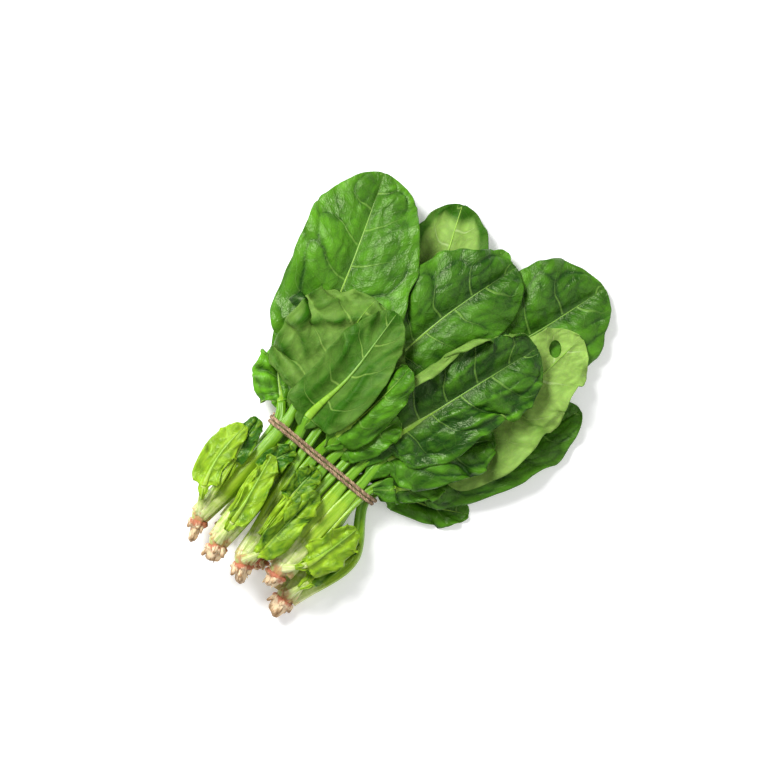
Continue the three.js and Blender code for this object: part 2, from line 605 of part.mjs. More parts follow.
function rootSolid(plant) {
  const { size } = plant;
  const profile = ROOT_PROFILE.map(
    ([radius, share]) => new THREE.Vector2(radius * size, share * ROOT.length * size),
  );
  const stub = new THREE.LatheGeometry(profile, ROOT.sides);
  const parts = [solidOf(stub)];
  for (let k = 0; k < STUMPS; k++) {
    const angle = (TURN * (k + 0.3)) / STUMPS;
    const stump = new THREE.CylinderGeometry(1.4 * size, 2.3 * size, 6 * size, 5);
    stump.translate(0, 3 * size, 0);
    stump.rotateZ(-0.35);
    stump.rotateY(-angle);
    stump.translate(4.4 * size * Math.cos(angle), 3.5 * size, 4.4 * size * Math.sin(angle));
    parts.push(solidOf(stump));
  }
  return unionOf(parts);
}

function collarSolid() {
  const length = COLLAR.back + COLLAR.front;
  const profile = [[0, 0], [6, 0], [COLLAR.radius, 2.5], [6.6, 6], [4.5, length], [0, length]];
  const points = profile.map(([radius, y]) => new THREE.Vector2(radius, y));
  return solidOf(new THREE.LatheGeometry(points, ROOT.sides));
}

// Turns a piece made along +Y to lie along `aim`, with its foot at `foot`
function placed(solid, aim, foot) {
  const made = new THREE.Vector3(0, 1, 0);
  const turn = new THREE.Quaternion().setFromUnitVectors(made, aim.clone().normalize());
  const matrix = new THREE.Matrix4().compose(foot, turn, new THREE.Vector3(1, 1, 1));
  const geometry = geometryFrom(solid);
  geometry.applyMatrix4(matrix);
  return solidOf(geometry);
}

// What lies below the table top is cut off flat
function trimmedAtTable(solid) {
  const slab = new THREE.BoxGeometry(500, 500, 40);
  slab.translate(0, 0, -20);
  return solid.subtract(solidOf(slab));
}

// Twine: a helix of two turns round the hull of the stalks, closed by a knot low on one side
const KNOT_ANGLE = radians(-38);
const TWINE_STEPS = 28; // for each turn
const TWINE_SIDES = 7;

// Sections of the stalks near the twine
const sections = [];
for (const leaf of LEAVES.filter((each) => each.slot)) {
  for (let off = -TIE_HELD; off <= TIE_HELD; off += 0.5) {
    const { point } = along(leaf.route, leaf.tieAt + off);
    sections.push({ x: point.x, centre: new THREE.Vector2(point.y, point.z) });
  }
}

// Where the twine's middle lies at `angle` round the stalks
function hullPoint(x, angle) {
  const direction = new THREE.Vector2(Math.cos(angle), Math.sin(angle));
  const wide = STALK_WIDE.tie;
  const high = STALK_HIGH.tie * 1.16;
  const reach = Math.hypot(wide * direction.x, high * direction.y);
  let best = null;
  for (const section of sections) {
    if (Math.abs(section.x - x) > TWINE.radius + 1.2) continue;
    const support = section.centre.dot(direction) + reach;
    if (best && best.support >= support) continue;
    const edge = new THREE.Vector2(wide ** 2 * direction.x, high ** 2 * direction.y);
    best = { support, point: edge.divideScalar(reach).add(section.centre) };
  }
  return best.point.addScaledVector(direction, TWINE.gap + TWINE.radius);
}

function twinePath() {
  const total = TWINE.turns * TWINE_STEPS;
  const points = [];
  for (let n = 0; n <= total; n++) {
    const turn = n / TWINE_STEPS;
    const x = TWINE.pitch * (turn - TWINE.turns / 2);
    const at = hullPoint(x, KNOT_ANGLE + TURN * turn);
    points.push(new THREE.Vector3(x, at.x, at.y));
  }
  return points;
}

function ropeSolid(points, radius, sides) {
  const loops = points.map((point, i) => {
    const ahead = points[Math.min(points.length - 1, i + 1)];
    const behind = points[Math.max(0, i - 1)];
    const tangent = ahead.clone().sub(behind).normalize();
    const across = new THREE.Vector3(1, 0, 0).addScaledVector(tangent, -tangent.x).normalize();
    const other = tangent.clone().cross(across);
    const loop = [];
    for (let k = 0; k < sides; k++) {
      const angle = (TURN * k) / sides;
      const corner = point.clone().addScaledVector(across, radius * Math.cos(angle));
      loop.push(corner.addScaledVector(other, radius * Math.sin(angle)));
    }
    return loop;
  });
  return solidOf(tubeGeometry(loops));
}

function knotSolid() {
  const direction = new THREE.Vector3(0, Math.cos(KNOT_ANGLE), Math.sin(KNOT_ANGLE));
  const at = hullPoint(0, KNOT_ANGLE);
  const heart = new THREE.Vector3(0, at.x, at.y).addScaledVector(direction, 1.6);
  const body = new THREE.SphereGeometry(1, 10, 6);
  body.scale(4.6, 3.3, 3.1);
  body.rotateX(KNOT_ANGLE + Math.PI / 2);
  body.translate(heart.x, heart.y, heart.z);
  const tails = [-1, 1].map((side) => {
    const points = [0, 0.35, 0.7, 1].map((share) => {
      const off = new THREE.Vector3(side * (1.5 + 8 * share), 1.5 + 4 * share, 0);
      return off.add(heart);
    });
    return tailSolid(points);
  });
  return unionOf([solidOf(body), ...tails]);
}

function tailSolid(points) {
  const loops = points.map((point, i) => {
    const ahead = points[Math.min(points.length - 1, i + 1)];
    const behind = points[Math.max(0, i - 1)];
    const tangent = ahead.clone().sub(behind).normalize();
    const across = UP.clone().cross(tangent).normalize();
    const other = tangent.clone().cross(across);
    return Array.from({ length: 6 }, (_, k) => {
      const angle = (TURN * k) / 6;
      const corner = point.clone().addScaledVector(across, TWINE.radius * Math.cos(angle));
      return corner.addScaledVector(other, TWINE.radius * Math.sin(angle));
    });
  });
  return solidOf(tubeGeometry(loops));
}

// The bunch
const bunch = new THREE.Group();
const pieces = new THREE.Group();
bunch.add(pieces);

function addPiece(name, geometry, look) {
  const mesh = new THREE.Mesh(geometry, new THREE.MeshStandardMaterial(look));
  mesh.name = name;
  pieces.add(mesh);
}

for (const [letter, plant] of Object.entries(PLANTS)) {
  const leaves = LEAVES.filter((leaf) => leaf.plant === letter);
  const aim = vector(plant.aim).normalize();
  const collarFoot = vector(plant.at).addScaledVector(aim, COLLAR.back);
  const collar = placed(collarSolid(), aim.clone().negate(), collarFoot);
  const stalks = unionOf([collar, ...leaves.map(stalkSolid)]);
  const rootFoot = vector(plant.at).addScaledVector(aim, COLLAR.back + JOIN_GAP);
  const root = placed(rootSolid(plant), aim, rootFoot);
  addPiece(`plant_${letter}_root`, geometryFrom(trimmedAtTable(root)), ROOT_PINK);
  addPiece(`plant_${letter}_stalks`, geometryFrom(trimmedAtTable(stalks)), STALK_GREEN);
  for (const leaf of leaves) {
    const look = leaf.face === "top" ? BLADE_TOP : BLADE_BACK;
    addPiece(`plant_${leaf.name}`, bladeGeometry(leaf), look);
  }
}
const twine = ropeSolid(twinePath(), TWINE.radius, TWINE_SIDES).add(knotSolid());
addPiece("twine_tie", geometryFrom(trimmedAtTable(twine)), JUTE);

const box = new THREE.Box3().setFromObject(pieces);
pieces.position.set(-(box.min.x + box.max.x) / 2, -(box.min.y + box.max.y) / 2, -box.min.z);

export default bunch;
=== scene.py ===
"""A bunch of whole young spinach plants, tied with jute twine, lying on a pale table.

Run as a script. Each piece is made by an operator, from sizes and colours that stand in
property groups. Lengths in the leaf table are millimetres, measured from the middle of the
twine, with +X from the roots to the leaf tips. Blender's own units are metres.
"""

import math

import bpy
import numpy as np
from mathutils import Matrix, Vector
from mathutils.bvhtree import BVHTree


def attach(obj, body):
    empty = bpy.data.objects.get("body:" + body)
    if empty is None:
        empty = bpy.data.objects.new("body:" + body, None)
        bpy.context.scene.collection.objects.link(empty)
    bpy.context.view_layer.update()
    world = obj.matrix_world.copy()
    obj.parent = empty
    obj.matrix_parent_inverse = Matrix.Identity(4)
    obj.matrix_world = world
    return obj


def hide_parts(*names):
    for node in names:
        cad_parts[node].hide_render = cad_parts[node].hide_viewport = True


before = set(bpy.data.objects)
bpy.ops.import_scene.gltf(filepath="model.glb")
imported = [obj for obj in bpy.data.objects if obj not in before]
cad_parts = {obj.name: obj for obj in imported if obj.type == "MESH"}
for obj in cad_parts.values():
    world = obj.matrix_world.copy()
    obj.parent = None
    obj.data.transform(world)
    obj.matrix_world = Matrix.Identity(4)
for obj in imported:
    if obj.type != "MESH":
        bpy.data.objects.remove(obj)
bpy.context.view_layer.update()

bl_info = {
    "name": "Spinach bunch",
    "version": (1, 0, 0),
    "blender": (4, 5, 0),
    "location": "3D View > Sidebar > Spinach",
    "description": "Grows the leaves, stalks, roots and twine of a bunch of spinach",
    "category": "Add Mesh",
}

MM = 0.001
TURN = 2 * math.pi
UP = np.array([0.0, 0.0, 1.0])
TWINE_MIDDLE = np.array([-51.833, 6.557, 0.006])  # where the twine's middle stands in the frame

# Sizes of the leaves, as in the solid bunch, in millimetres
SHEET = 0.8
STALK_WIDE = {"crown": 5.6, "tie": 3.5, "blade": 2.9}
STALK_HIGH = {"crown": 3.3, "tie": 2.6, "blade": 1.6}
SMALL_STALK = 0.62
RIB_TIP_WIDE = 0.8
TIP_WIDE = 2.0
LAYER_Z = [0, 6.4, 12.7, 19, 25.3]
TWINE_RADIUS = 1.2
TWINE_GAP = 0.45
TWINE_TURNS = 2
TWINE_PITCH = 2.75
TIE_HELD = 5.0
SMALL_HELD = 14.0
CROWN_SPREAD = 0.34
WIDEST = 0.28

# Sizes of what the fine bunch adds, in millimetres
RIB_PROUD = 0.55  # how far a midrib stands out of its blade's face at the base
RIB_RUNOUT = 14  # length in which it sinks back to a fine ridge
RIB_SIDES, STALK_SIDES = 14, 34
WING_LONGEST = 34  # a blade runs down its stalk as two narrow wings
WING_WIDE, YOUNG_WING_WIDE = 4.5, 1.2
WING_STEP = 1.6
WING_SINK = 1.7  # how far the wings lie below the crest of the stalk
OVER_TWINE = 7.5  # the wings end this far above the middle of the tie
STALK_STEP = 1.6
STALK_JOIN = 22  # length in which a stalk eases into its blade's midrib
STOUT = 0.3  # how much thicker the stalks of the top layer are below the twine
CALM_TIP = 0.82  # share of the length beyond which the edge wave fades
LAID_GAP = 0.12  # between a blade and what it lies on
CLEAR = 0.03  # least height over the table

# The photograph: its right, its top and the camera's side; its middle seen from the twine's, in
# millimetres; how high the leaves lie on the whole, in metres; the sensor, in millimetres
PICTURE_WAYS = ((0.643, -0.766, 0), (0.766, 0.643, 0), (0, 0, 1))
PICTURE_MIDDLE = (63.1, -6.4, 0)
MEAN_HEIGHT = 0.02
SENSOR = 36
HOLE_LONG_WAY = np.array(PICTURE_WAYS[1][:2])  # the holes are long towards the photograph's top

# The plants: middle of the crown, where the root points, share of a full root
PLANTS = {
    "a": ((-79, 36, 19), (-1, -0.4, -0.2), 1.0),
    "b": ((-84, 16, 28), (-1, -0.4, -0.1), 1.1),
    "c": ((-82, -4, 28), (-1, -0.6, -0.15), 1.1),
    "d": ((-72, -26, 27), (-1, -0.1, -0.2), 1.15),
    "e": ((-83, -41, 6.6), (-1, -0.05, 0), 1.25),
    "f": ((-71, -12, 6.6), (-1, 0, 0), 1.0),
    "g": ((-70, 18, 6.6), (-1, 0.1, 0), 1.0),
}

# How the solid of a leaf is divided: rows, shares of the half-width, columns that are rolled over
LONG = (11, (0, 0.34, 0.68, 1), 0)
UNDER = (6, (0, 0.5, 1), 0)
SHORT = (8, (0, 0.5, 1), 0)
SMALL = (6, (0, 0.5, 1), 0)
ROLLED = (11, (0, 0.33, 0.64, 0.82, 1), 2)

LEAVES = {}


def leaf(name, slot, base, mid, tip, half, face, fold, curl, wave, parts, tone, **more):
    """Adds a leaf to the bunch. tone: 0 for the darkest blade, 1 for the palest."""
    LEAVES[name] = dict(
        slot=slot, base=base, mid=mid, tip=tip, half=half, face=face, fold=fold, curl=curl,
        wave=wave, parts=parts, tone=tone, **more,
    )


def hidden_leaf(name, slot, base, mid, tip, tone):
    """A plain leaf of the lower layers, flatter in the lowest one."""
    fold, curl, wave = (3, -6, 1.6) if slot[1] == 1 else (4, -8, 2)
    leaf(name, slot, base, mid, tip, (22, 22), "top", (fold, fold), (curl, curl), (wave, 2.5),
         UNDER, tone)


# In the order in which they are laid, from the table up. slot: place across the tie, and layer.
# base, mid, tip: points of the midrib. half, fold and curl: right of the midrib, then left of it
hidden_leaf("g_leaf_1", (27, 1), (28, 34, 5), (70, 56, 2), (112, 70, 1), 0.2)
hidden_leaf("g_leaf_2", (18, 1), (40, 24, 5), (88, 36, 2), (135, 44, 1), 0.2)
hidden_leaf("g_leaf_3", (9, 1), (32, 9, 5), (90, 11, 2), (150, 12, 1), 0.2)
hidden_leaf("f_leaf_1", (0, 1), (40, -6, 5), (96, -18, 2), (158, -30, 1), 0.2)
hidden_leaf("f_leaf_2", (-9, 1), (32, -17, 5), (88, -42, 2), (145, -66, 1), 0.35)
hidden_leaf("e_leaf_1", (-18, 1), (20, -27, 5), (70, -58, 2), (112, -84, 1), 0.35)
leaf("e_leaf_3", (-36, 1), (12, -46, 5), (20, -72, 3), (34, -98, 1), (12, 15), "top",
     (8, 8), (-12, -12), (3, 2.5), SHORT, 0.4)
leaf("e_leaf_2", (-27, 1), (20, -40, 6), (44, -68, 3), (66, -92, 2), (17, 18), "top",
     (5, 5), (-8, -8), (3, 2.5), SHORT, 0.32)
hidden_leaf("a_leaf_1", (31.5, 2), (34, 47, 10), (60, 62, 4), (88, 74, 2), 0.3)
hidden_leaf("g_leaf_4", (22.5, 2), (56, 38, 10), (90, 50, 4), (125, 64, 2), 0.3)
leaf("e_leaf_4", (-40, 2), (27, -58, 10), (80, -90, 10), (133, -110, 5), (24, 24), "top",
     (10, 6), (-16, -10), (3, 2.2), LONG, 0.28, bow=(-38, -58, 8))
hidden_leaf("f_leaf_3", (-17, 2), (60, -36, 10), (96, -52, 4), (138, -72, 2), 0.3)
leaf("f_leaf_4", (-8, 2), (100, -34, 12), (152, -55, 14), (204, -71, 8), (38, 44), "top",
     (6, 6), (-20, -16), (3.5, 2.2), LONG, 0.22)
leaf("f_leaf_5", (1, 2), (120, -15, 12), (151, -11, 12), (181, -6, 9), (13, 13), "top",
     (6, 6), (-8, -8), (2, 2), UNDER, 0.4)
leaf("g_leaf_5", (11, 2), (108, 4, 12), (148, 19, 11), (186, 35, 9), (29, 28), "back",
     (6, 6), (14, 12), (2.5, 2.2), LONG, 0.8, tone_rim=-1.3)
leaf("a_leaf_2", (36, 3), (12, 43, 17), (22, 54, 14), (36, 66, 8), (15, 17), "top",
     (8, 8), (-16, -16), (3, 3), SHORT, 0.5, crumple=2.0, tone_rim=0.3, ragged=1.3, wing_wide=3)
hidden_leaf("c_leaf_1", (0, 3), (60, -8, 14), (94, -16, 10), (130, -24, 6), 0.3)
hidden_leaf("d_leaf_1", (-18, 3), (46, -38, 14), (74, -58, 8), (104, -78, 4), 0.3)
leaf("b_leaf_1", (9, 3), (68, 5, 22), (122, -3, 28), (177, -18, 18), (34, 35), "top",
     (9, 7), (-20, -16), (3, 2.5), LONG, 0.16, widest=0.36)
leaf("a_leaf_3", (27, 3), (50, 46, 20), (112, 66, 26), (169, 87, 14), (44, 40), "top",
     (8, 6), (-20, -20), (3.5, 2.2), LONG, 0.34, widest=0.22, tone_rim=0.12)
leaf("e_leaf_5", (-36, 3), (15, -50, 14), (26, -62, 10), (40, -74, 6), (9, 10), "top",
     (8, 8), (-12, -12), (2, 2.5), SHORT, 0.3)
leaf("d_leaf_2", (-27, 3), (46, -57, 20), (108, -72, 25), (169, -80, 17), (32, 33), "back",
     (-4, 6), (14, 16), (4.5, 3.2), LONG, 0.48, tone_tip=1.0, crumple=2.0, ragged=1.8)
leaf("a_leaf_4", (31.5, 4), (24, 35, 29), (64, 37, 37), (102, 38, 33), (47, 38), "back",
     (-5, -8), (-12, -18), (6, 3), LONG, 0.28, widest=0.4, crumple=2.1, base_curve=0.4, ragged=2.2)
leaf("d_leaf_3", (-31.5, 4), (27, -34, 28), (54, -57, 32), (83, -79, 24), (23, 24), "top",
     (8, 4), (-24, -12), (3, 2.4), LONG, 0.24, crumple=1.5)
leaf("d_leaf_4", (-22.5, 4), (34, -27, 30), (90, -44, 40), (151, -64, 32), (32, 45), "top",
     (-6, 8), (-22, 12), (4, 2.6), ROLLED, 0.1, roll=150, crumple=1.6, tip_curve=3.5, reach=0.95)
leaf("c_leaf_2", (-6, 4), (14, -8, 28), (30, -16, 30), (52, -24, 26), (12, 13), "top",
     (8, 8), (-16, -16), (3, 2.5), SHORT, 0.4)
leaf("c_leaf_3", (3, 4), (18, 1, 29), (48, -4, 36), (82, -7, 34), (18, 12), "top",
     (-10, 10), (-24, 50), (2.5, 2.2), LONG, 0.39, crumple=1.3)
leaf("b_leaf_2", (20, 4), (15, 23, 30), (52, 19, 42), (104, 22, 39), (22, 22), "back",
     (4, 6), (-14, -12), (2.5, 2.4), LONG, 0.08, crumple=1.3, base_curve=0.5)
leaf("a_leaf_6", None, (-38, 42, 30), (-22, 45, 32), (-6, 47, 28), (8, 8), "top",
     (4, 4), (-20, -20), (2, 2), SMALL, 0.0)
leaf("a_leaf_5", None, (-62, 46, 26), (-41, 51, 25), (-15, 51, 21), (9, 12), "back",
     (6, 6), (-20, -26), (3, 3.2), SMALL, 0.66)
leaf("b_leaf_4", None, (-30, 24, 33), (-18, 21, 34), (-6, 16, 33), (8, 8), "top",
     (6, 6), (-20, -20), (2.5, 2.5), SMALL, 0.05)
leaf("b_leaf_3", None, (-68, 17, 33), (-45, 20, 34), (-18, 25, 34), (11, 4), "back",
     (16, 22), (-10, 16), (2.5, 3), SMALL, 0.66)
leaf("c_leaf_4", None, (-34, -2, 33), (-20, -2, 34), (-6, -3, 32), (9, 9), "top",
     (6, 10), (-20, -14), (2.5, 2.5), SMALL, 0.08)
leaf("c_leaf_5", None, (-72, -9, 33), (-48, -11, 35), (-18, -13, 34), (11, 6), "top",
     (10, 12), (-20, -14), (2.5, 2.8), SMALL, 0.36)
leaf("e_leaf_6", None, (-66, -46, 14), (-48, -51, 16), (-26, -54, 14), (6, 8), "top",
     (8, 8), (-16, -16), (2, 2.5), SMALL, 0.2)
leaf("d_leaf_5", None, (-58, -38, 30), (-42, -43, 30), (-20, -48, 26), (14, 10), "back",
     (8, 8), (-20, -20), (3, 3), SMALL, 0.66)

# Folds of single blades, from the photograph: two ends (to the left of the midrib, along it),
# height, half-width, and for a one-sided fold its soft side and how much wider that is
FOLDS = {
    "a_leaf_2": (
        (2, 3, 20, 1, 2.2, 2), (2, 9, 19, 8, 2.4, 2), (2, 15, 18, 16, 2.2, 2.2),
        (2, 21, 14, 24, 2.0, 2.2),
    ),
    "d_leaf_2": (
        (-31, 50, -4, 66, 4, 2.5), (-30, 76, -8, 90, 4, 2.5, 3), (-32, 26, -8, 42, 4, 3),
        (-24, 56, -29, 104, 2.5, 2.5), (-31, 88, -14, 104, 3, 2),
    ),
    "a_leaf_4": (
        (36, 24, 10, 52, 6, 2.4, -5), (12, 50, -22, 82, 6, 2.2, -5), (30, 44, 14, 66, 2.5, 2.5),
        (9, 2, 38, 12, 4, 2.6), (11, 12, 42, 22, 4, 2.6), (14, 22, 42, 36, 3.5, 3),
        (-6, 40, 20, 60, 2, 5),
    ),
    "d_leaf_4": (
        (-18, 40, -30, 88, 4, 4), (-6, 40, -14, 92, 2.5, 3.5), (10, 50, 16, 90, 3, 4),
    ),
    "b_leaf_2": (
        (-14, 6, -7, 50, 4, 3), (4, 62, 20, 88, 3, 2.5, 3), (10, 12, 15, 70, 3, 4),
        (-8, 55, -18, 80, 3, 3.5),
    ),
}

# Oval holes eaten into a blade: middle, half its width, half its length
HOLES = {"d_leaf_2": [(152.6, -71.6, 4.0, 5.8)]}

# Stalks whose blades lie out of sight: place across the tie, height there, where it ends
BARE_STALKS = {
    "b_bare_1": (18, 19, (24, 17, 21)),
    "c_bare_1": (11.5, 25.3, (24, 13, 26)),
    "c_bare_2": (-14, 25.3, (26, -15, 26)),
    "d_bare_1": (-9, 19, (26, -10, 20)),
    "d_bare_2": (-37, 24.2, (20, -45, 22)),
}


# Geometry shared by every leaf


def lerp(a, b, t):
    return a + (b - a) * t


def smoothstep(low, high, x):
    t = np.clip((x - low) / (high - low), 0, 1)
    return t * t * (3 - 2 * t)


def unit(v):
    return v / np.maximum(np.linalg.norm(v, axis=-1, keepdims=True), 1e-9)


def facing(lf):
    """1 where a blade shows its face, -1 where it shows its underside."""
    return 1 if lf["face"] == "top" else -1


def blade_length(lf):
    return lf["tip_at"] - lf["base_at"]


def above_table(points, least=CLEAR):
    points = np.array(points)
    points[..., 2] = np.maximum(points[..., 2], least)
    return points


def beside(grid, **edges):
    """The four neighbours of every number in a grid."""
    padded = np.pad(grid, 1, **edges)
    return np.stack([padded[:-2, 1:-1], padded[2:, 1:-1], padded[1:-1, :-2], padded[1:-1, 2:]])


def round_about(centre, left, over, radius, turn):
    """A ring of points, or any line at these angles and distances from its centre."""
    return (
        centre + left * (radius * np.cos(turn))[:, None]
        + over * (radius * np.sin(turn))[:, None]
    )


class Route:
    """The line of a leaf from its crown along the stalk and midrib to the tip."""

    STEPS = 40

    def __init__(self, points):
        points = np.array(points, float)
        ends = [2 * points[0] - points[1], *points, 2 * points[-1] - points[-2]]
        t = (np.arange(self.STEPS) / self.STEPS)[:, None]
        line = []
        for p0, p1, p2, p3 in zip(ends, ends[1:], ends[2:], ends[3:]):
            a, b, c = (math.sqrt(np.linalg.norm(q - p)) for p, q in ((p0, p1), (p1, p2), (p2, p3)))
            start = ((p1 - p0) / a - (p2 - p0) / (a + b) + (p2 - p1) / b) * b
            end = ((p2 - p1) / b - (p3 - p1) / (b + c) + (p3 - p2) / c) * b
            line.append(
                p1 + start * t + (3 * (p2 - p1) - 2 * start - end) * t**2
                + (2 * (p1 - p2) + start + end) * t**3
            )
        self.dense = np.vstack([*line, points[-1:]])
        steps = np.linalg.norm(np.diff(self.dense, axis=0), axis=1)
        self.reach = np.concatenate([[0], np.cumsum(steps)])
        self.tangents = unit(np.gradient(self.dense, self.reach, axis=0))

    def length_to(self, span):
        return self.reach[self.STEPS * span]

    def at(self, distance):
        """Points and tangents at these distances. Beyond the ends the line goes on straight."""
        distance = np.asarray(distance, float)
        point = np.stack([np.interp(distance, self.reach, self.dense[:, k]) for k in range(3)], -1)
        tangent = np.stack(
            [np.interp(distance, self.reach, self.tangents[:, k]) for k in range(3)], -1
        )
        beyond = np.maximum(distance - self.reach[-1], 0)[..., None]
        return point + beyond * self.tangents[-1], unit(tangent)


def seed_of(name):
    total = 7
    for letter in name:
        total = (total * 31 + ord(letter)) % 997
    return total


def phase_of(name):
    return (seed_of(name) % 100) / 100


def outline(lf, side, q):
    """Half-width of a blade as a share of its greatest, at q from stalk to tip."""
    widest = lf.get("widest", WIDEST)
    lobing = 1 + 0.04 * np.sin(TURN * (1.9 * q + lf["phase"] + 0.31 * side))
    low = (1 - (1 - np.minimum(q / widest, 1)) ** 2) ** lf.get("base_curve", 0.8)
    high = (1 - np.clip((q - widest) / (1 - widest), 0, 1) ** lf.get("tip_curve", 2.1)) ** 0.7
    return lobing * np.where(q < widest, low, high)


def sweep(q):
    """How far forward the end of a row lies: the rows run with the side veins."""
    q = np.maximum(q, 0)
    lobe = np.where(q < 0.3, 4 * (q / 0.3) * (1 - q / 0.3), 0)
    return 0.5 * q * (1 - q) - 0.1 * lobe


def edge_wave(lf, q, side):
    height, number = lf["wave"]
    phase = lf["phase"] + np.where(side > 0, 0.37, 0)
    long = np.sin(TURN * (number * q + phase))
    short = 0.45 * np.sin(TURN * (2.3 * number * q + 2.1 * phase))
    calm = 1 - smoothstep(lf["calm_tip"], 1, q) if "calm_tip" in lf else 1
    return height * (long + short) * np.clip(6 * q, 0, 1) * calm


def across(lf, side, q, half, share):
    """Out from the midrib and up, at a share of the half-width."""
    left = side > 0
    fold = np.radians(np.where(left, lf["fold"][1], lf["fold"][0]))
    curl = np.radians(np.where(left, lf["curl"][1], lf["curl"][0]))
    roll = np.radians(lf.get("roll", 0)) * left * np.clip(8 * q * (1 - q), 0, 1)
    out = np.zeros_like(share)
    up = np.zeros_like(share)
    for n in range(16):
        t = (n + 0.5) * share / 16
        angle = fold + curl * t**2 + roll * np.maximum(0, (t - 0.58) / 0.42) ** 0.7
        out += np.cos(angle) * share / 16 * half
        up += np.sin(angle) * share / 16 * half
    return out, up + edge_wave(lf, q, side) * share**2


def half_widths(lf, side, q):
    rib = lerp(STALK_WIDE["blade"] * lf["stalk"], RIB_TIP_WIDE, q)
    greatest = np.where(side > 0, lf["half"][1], lf["half"][0])
    root = lerp(rib + 0.6, TIP_WIDE, q)
    half = root + (greatest - root) * outline(lf, side, np.maximum(q, 0))
    if "wing" in lf:
        start = -lf["wing_long"] / blade_length(lf)
        grown = smoothstep(start, 0.2 * start, q)
        half = half - (rib - 0.8) * (1 - grown) + lf["wing"] * grown * (1 - smoothstep(0, 0.2, q))
    return rib, half


def rib_height(lf, q):
    return lerp(STALK_HIGH["blade"] * lf["stalk"], SHEET / 2, np.maximum(q, 0) ** 0.7)


def blade_points(lf, q, side, out):
    """Middle of the sheet before the leaf came to rest."""
    rib, half = half_widths(lf, side, q)
    spread = np.maximum(0, (out - rib) / (half - rib))
    station = q * lf.get("reach", 1) + sweep(q) * spread**1.4 * np.clip(20 * q, 0, 1)
    point, tangent = lf["route"].at(lf["base_at"] + station * blade_length(lf))
    left = unit(np.cross(UP, tangent))
    over = np.cross(tangent, left)
    lateral, rise = across(lf, side, q, half, out / half)
    rise = rise + facing(lf) * (rib_height(lf, q) - SHEET / 2)
    if "wing" in lf:
        start = -lf["wing_long"] / blade_length(lf)
        rise = rise - facing(lf) * WING_SINK * (1 - smoothstep(0.5 * start, 0, q))
    return point + left * (side * lateral)[..., None] + over * rise[..., None]


def row_shares(count):
    u = np.linspace(0, 1, count)
    return lerp(0.5 - 0.5 * np.cos(np.pi * u), u, 0.3)


def stalk_size(lf, distance):
    before = np.minimum(1, distance / lf["tie_at"])
    after = np.clip((distance - lf["tie_at"]) / max(1, lf["base_at"] - lf["tie_at"]), 0, 1)

    def size(half):
        return lerp(lerp(half["crown"], half["tie"], before), half["blade"], after) * lf["stalk"]

    stout = 1 + lf.get("stout", 0) * np.sin(np.pi * before)
    return size(STALK_WIDE) * stout, size(STALK_HIGH) * stout


def bare_stalk(name):
    """A leaf record for a stalk without a blade of its own."""
    across_tie, height, end = BARE_STALKS[name]
    lf = dict(name=name, plant=name[0], face="top", stalk=0.92, tone=0.5, phase=phase_of(name))
    start = np.array(PLANTS[name[0]][0], float) + (0, 0.14 * across_tie, 1.5)
    route = lf["route"] = Route([start, (0, across_tie, height), end])
    lf["tie_at"] = route.length_to(1)
    lf["base_at"] = lf["tip_at"] = route.length_to(2)
    return lf


def complete(name, lf):
    """Works out a leaf's route, from its crown through the twine to its tip."""
    lf["name"] = name
    lf["plant"] = name[0]
    lf["phase"] = phase_of(name)
    lf["stalk"] = 1 if lf["slot"] else SMALL_STALK
    slots = [other["slot"] for key, other in LEAVES.items() if key[0] == name[0] and other["slot"]]
    start = np.array(PLANTS[name[0]][0], float)
    if lf["slot"]:
        start[1] += CROWN_SPREAD * (lf["slot"][0] - np.mean([s[0] for s in slots]))
        mean_z = np.mean([LAYER_Z[s[1]] for s in slots])
        start[2] += CROWN_SPREAD * (LAYER_Z[lf["slot"][1]] - mean_z)
    else:
        start[2] += 3
    points = [start]
    if "bow" in lf:
        points.append(lf["bow"])
    tie_point = len(points)
    if lf["slot"]:
        points.append((0, lf["slot"][0], LAYER_Z[lf["slot"][1]]))
    points += [lf["base"], lf["mid"], lf["tip"]]
    route = lf["route"] = Route(points)
    lf["base_at"] = route.length_to(len(points) - 3)
    lf["tip_at"] = route.length_to(len(points) - 1)
    lf["tie_at"] = route.length_to(tie_point) if lf["slot"] else min(SMALL_HELD, lf["base_at"] / 2)
    lf["held_to"] = lf["tie_at"] + (TIE_HELD if lf["slot"] else 0)
    if lf["slot"] and lf["slot"][1] == len(LAYER_Z) - 1:
        lf["stout"] = STOUT
    if lf["slot"]:
        lf["wing_long"] = min(WING_LONGEST, lf["base_at"] - lf["tie_at"] - OVER_TWINE)
    else:
        lf["wing_long"] = 0.7 * (lf["base_at"] - 7)
    if lf["wing_long"] > 3:
        lf["wing"] = lf.get("wing_wide", WING_WIDE if lf["slot"] else YOUNG_WING_WIDE)
    lf["calm_tip"] = CALM_TIP


# Where a leaf of the solid bunch came to rest


class Rested:
    """Reads at which heights a vertical line passes through the middle of a node's walls."""

    OVER_ALL = 120.0  # height over every leaf, in millimetres
    MOST = 12  # surfaces read under one place

    def __init__(self, node):
        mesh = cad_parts[node].data
        corners = np.array([v.co for v in mesh.vertices]) / MM - TWINE_MIDDLE
        self.tree = BVHTree.FromPolygons(corners.tolist(), [p.vertices[:] for p in mesh.polygons])

    def walls(self, x, y, share):
        """Heights of the middle sheets over (x, y). share: how far below its top each lies."""
        heights = []
        at = self.OVER_ALL
        while len(heights) < self.MOST:
            hit = self.tree.ray_cast(Vector((x, y, at)), Vector((0, 0, -1)))[0]
            if hit is None:
                break
            if not heights or heights[-1] - hit.z > 0.05:
                heights.append(hit.z)
            at = hit.z - 0.01
        return [lerp(a, b, share) for a, b in zip(heights[::2], heights[1::2])]

    def near(self, x, y, guess, share=0.5):
        found = self.walls(x, y, share)
        return min(found, key=lambda z: abs(z - guess)) if found else None


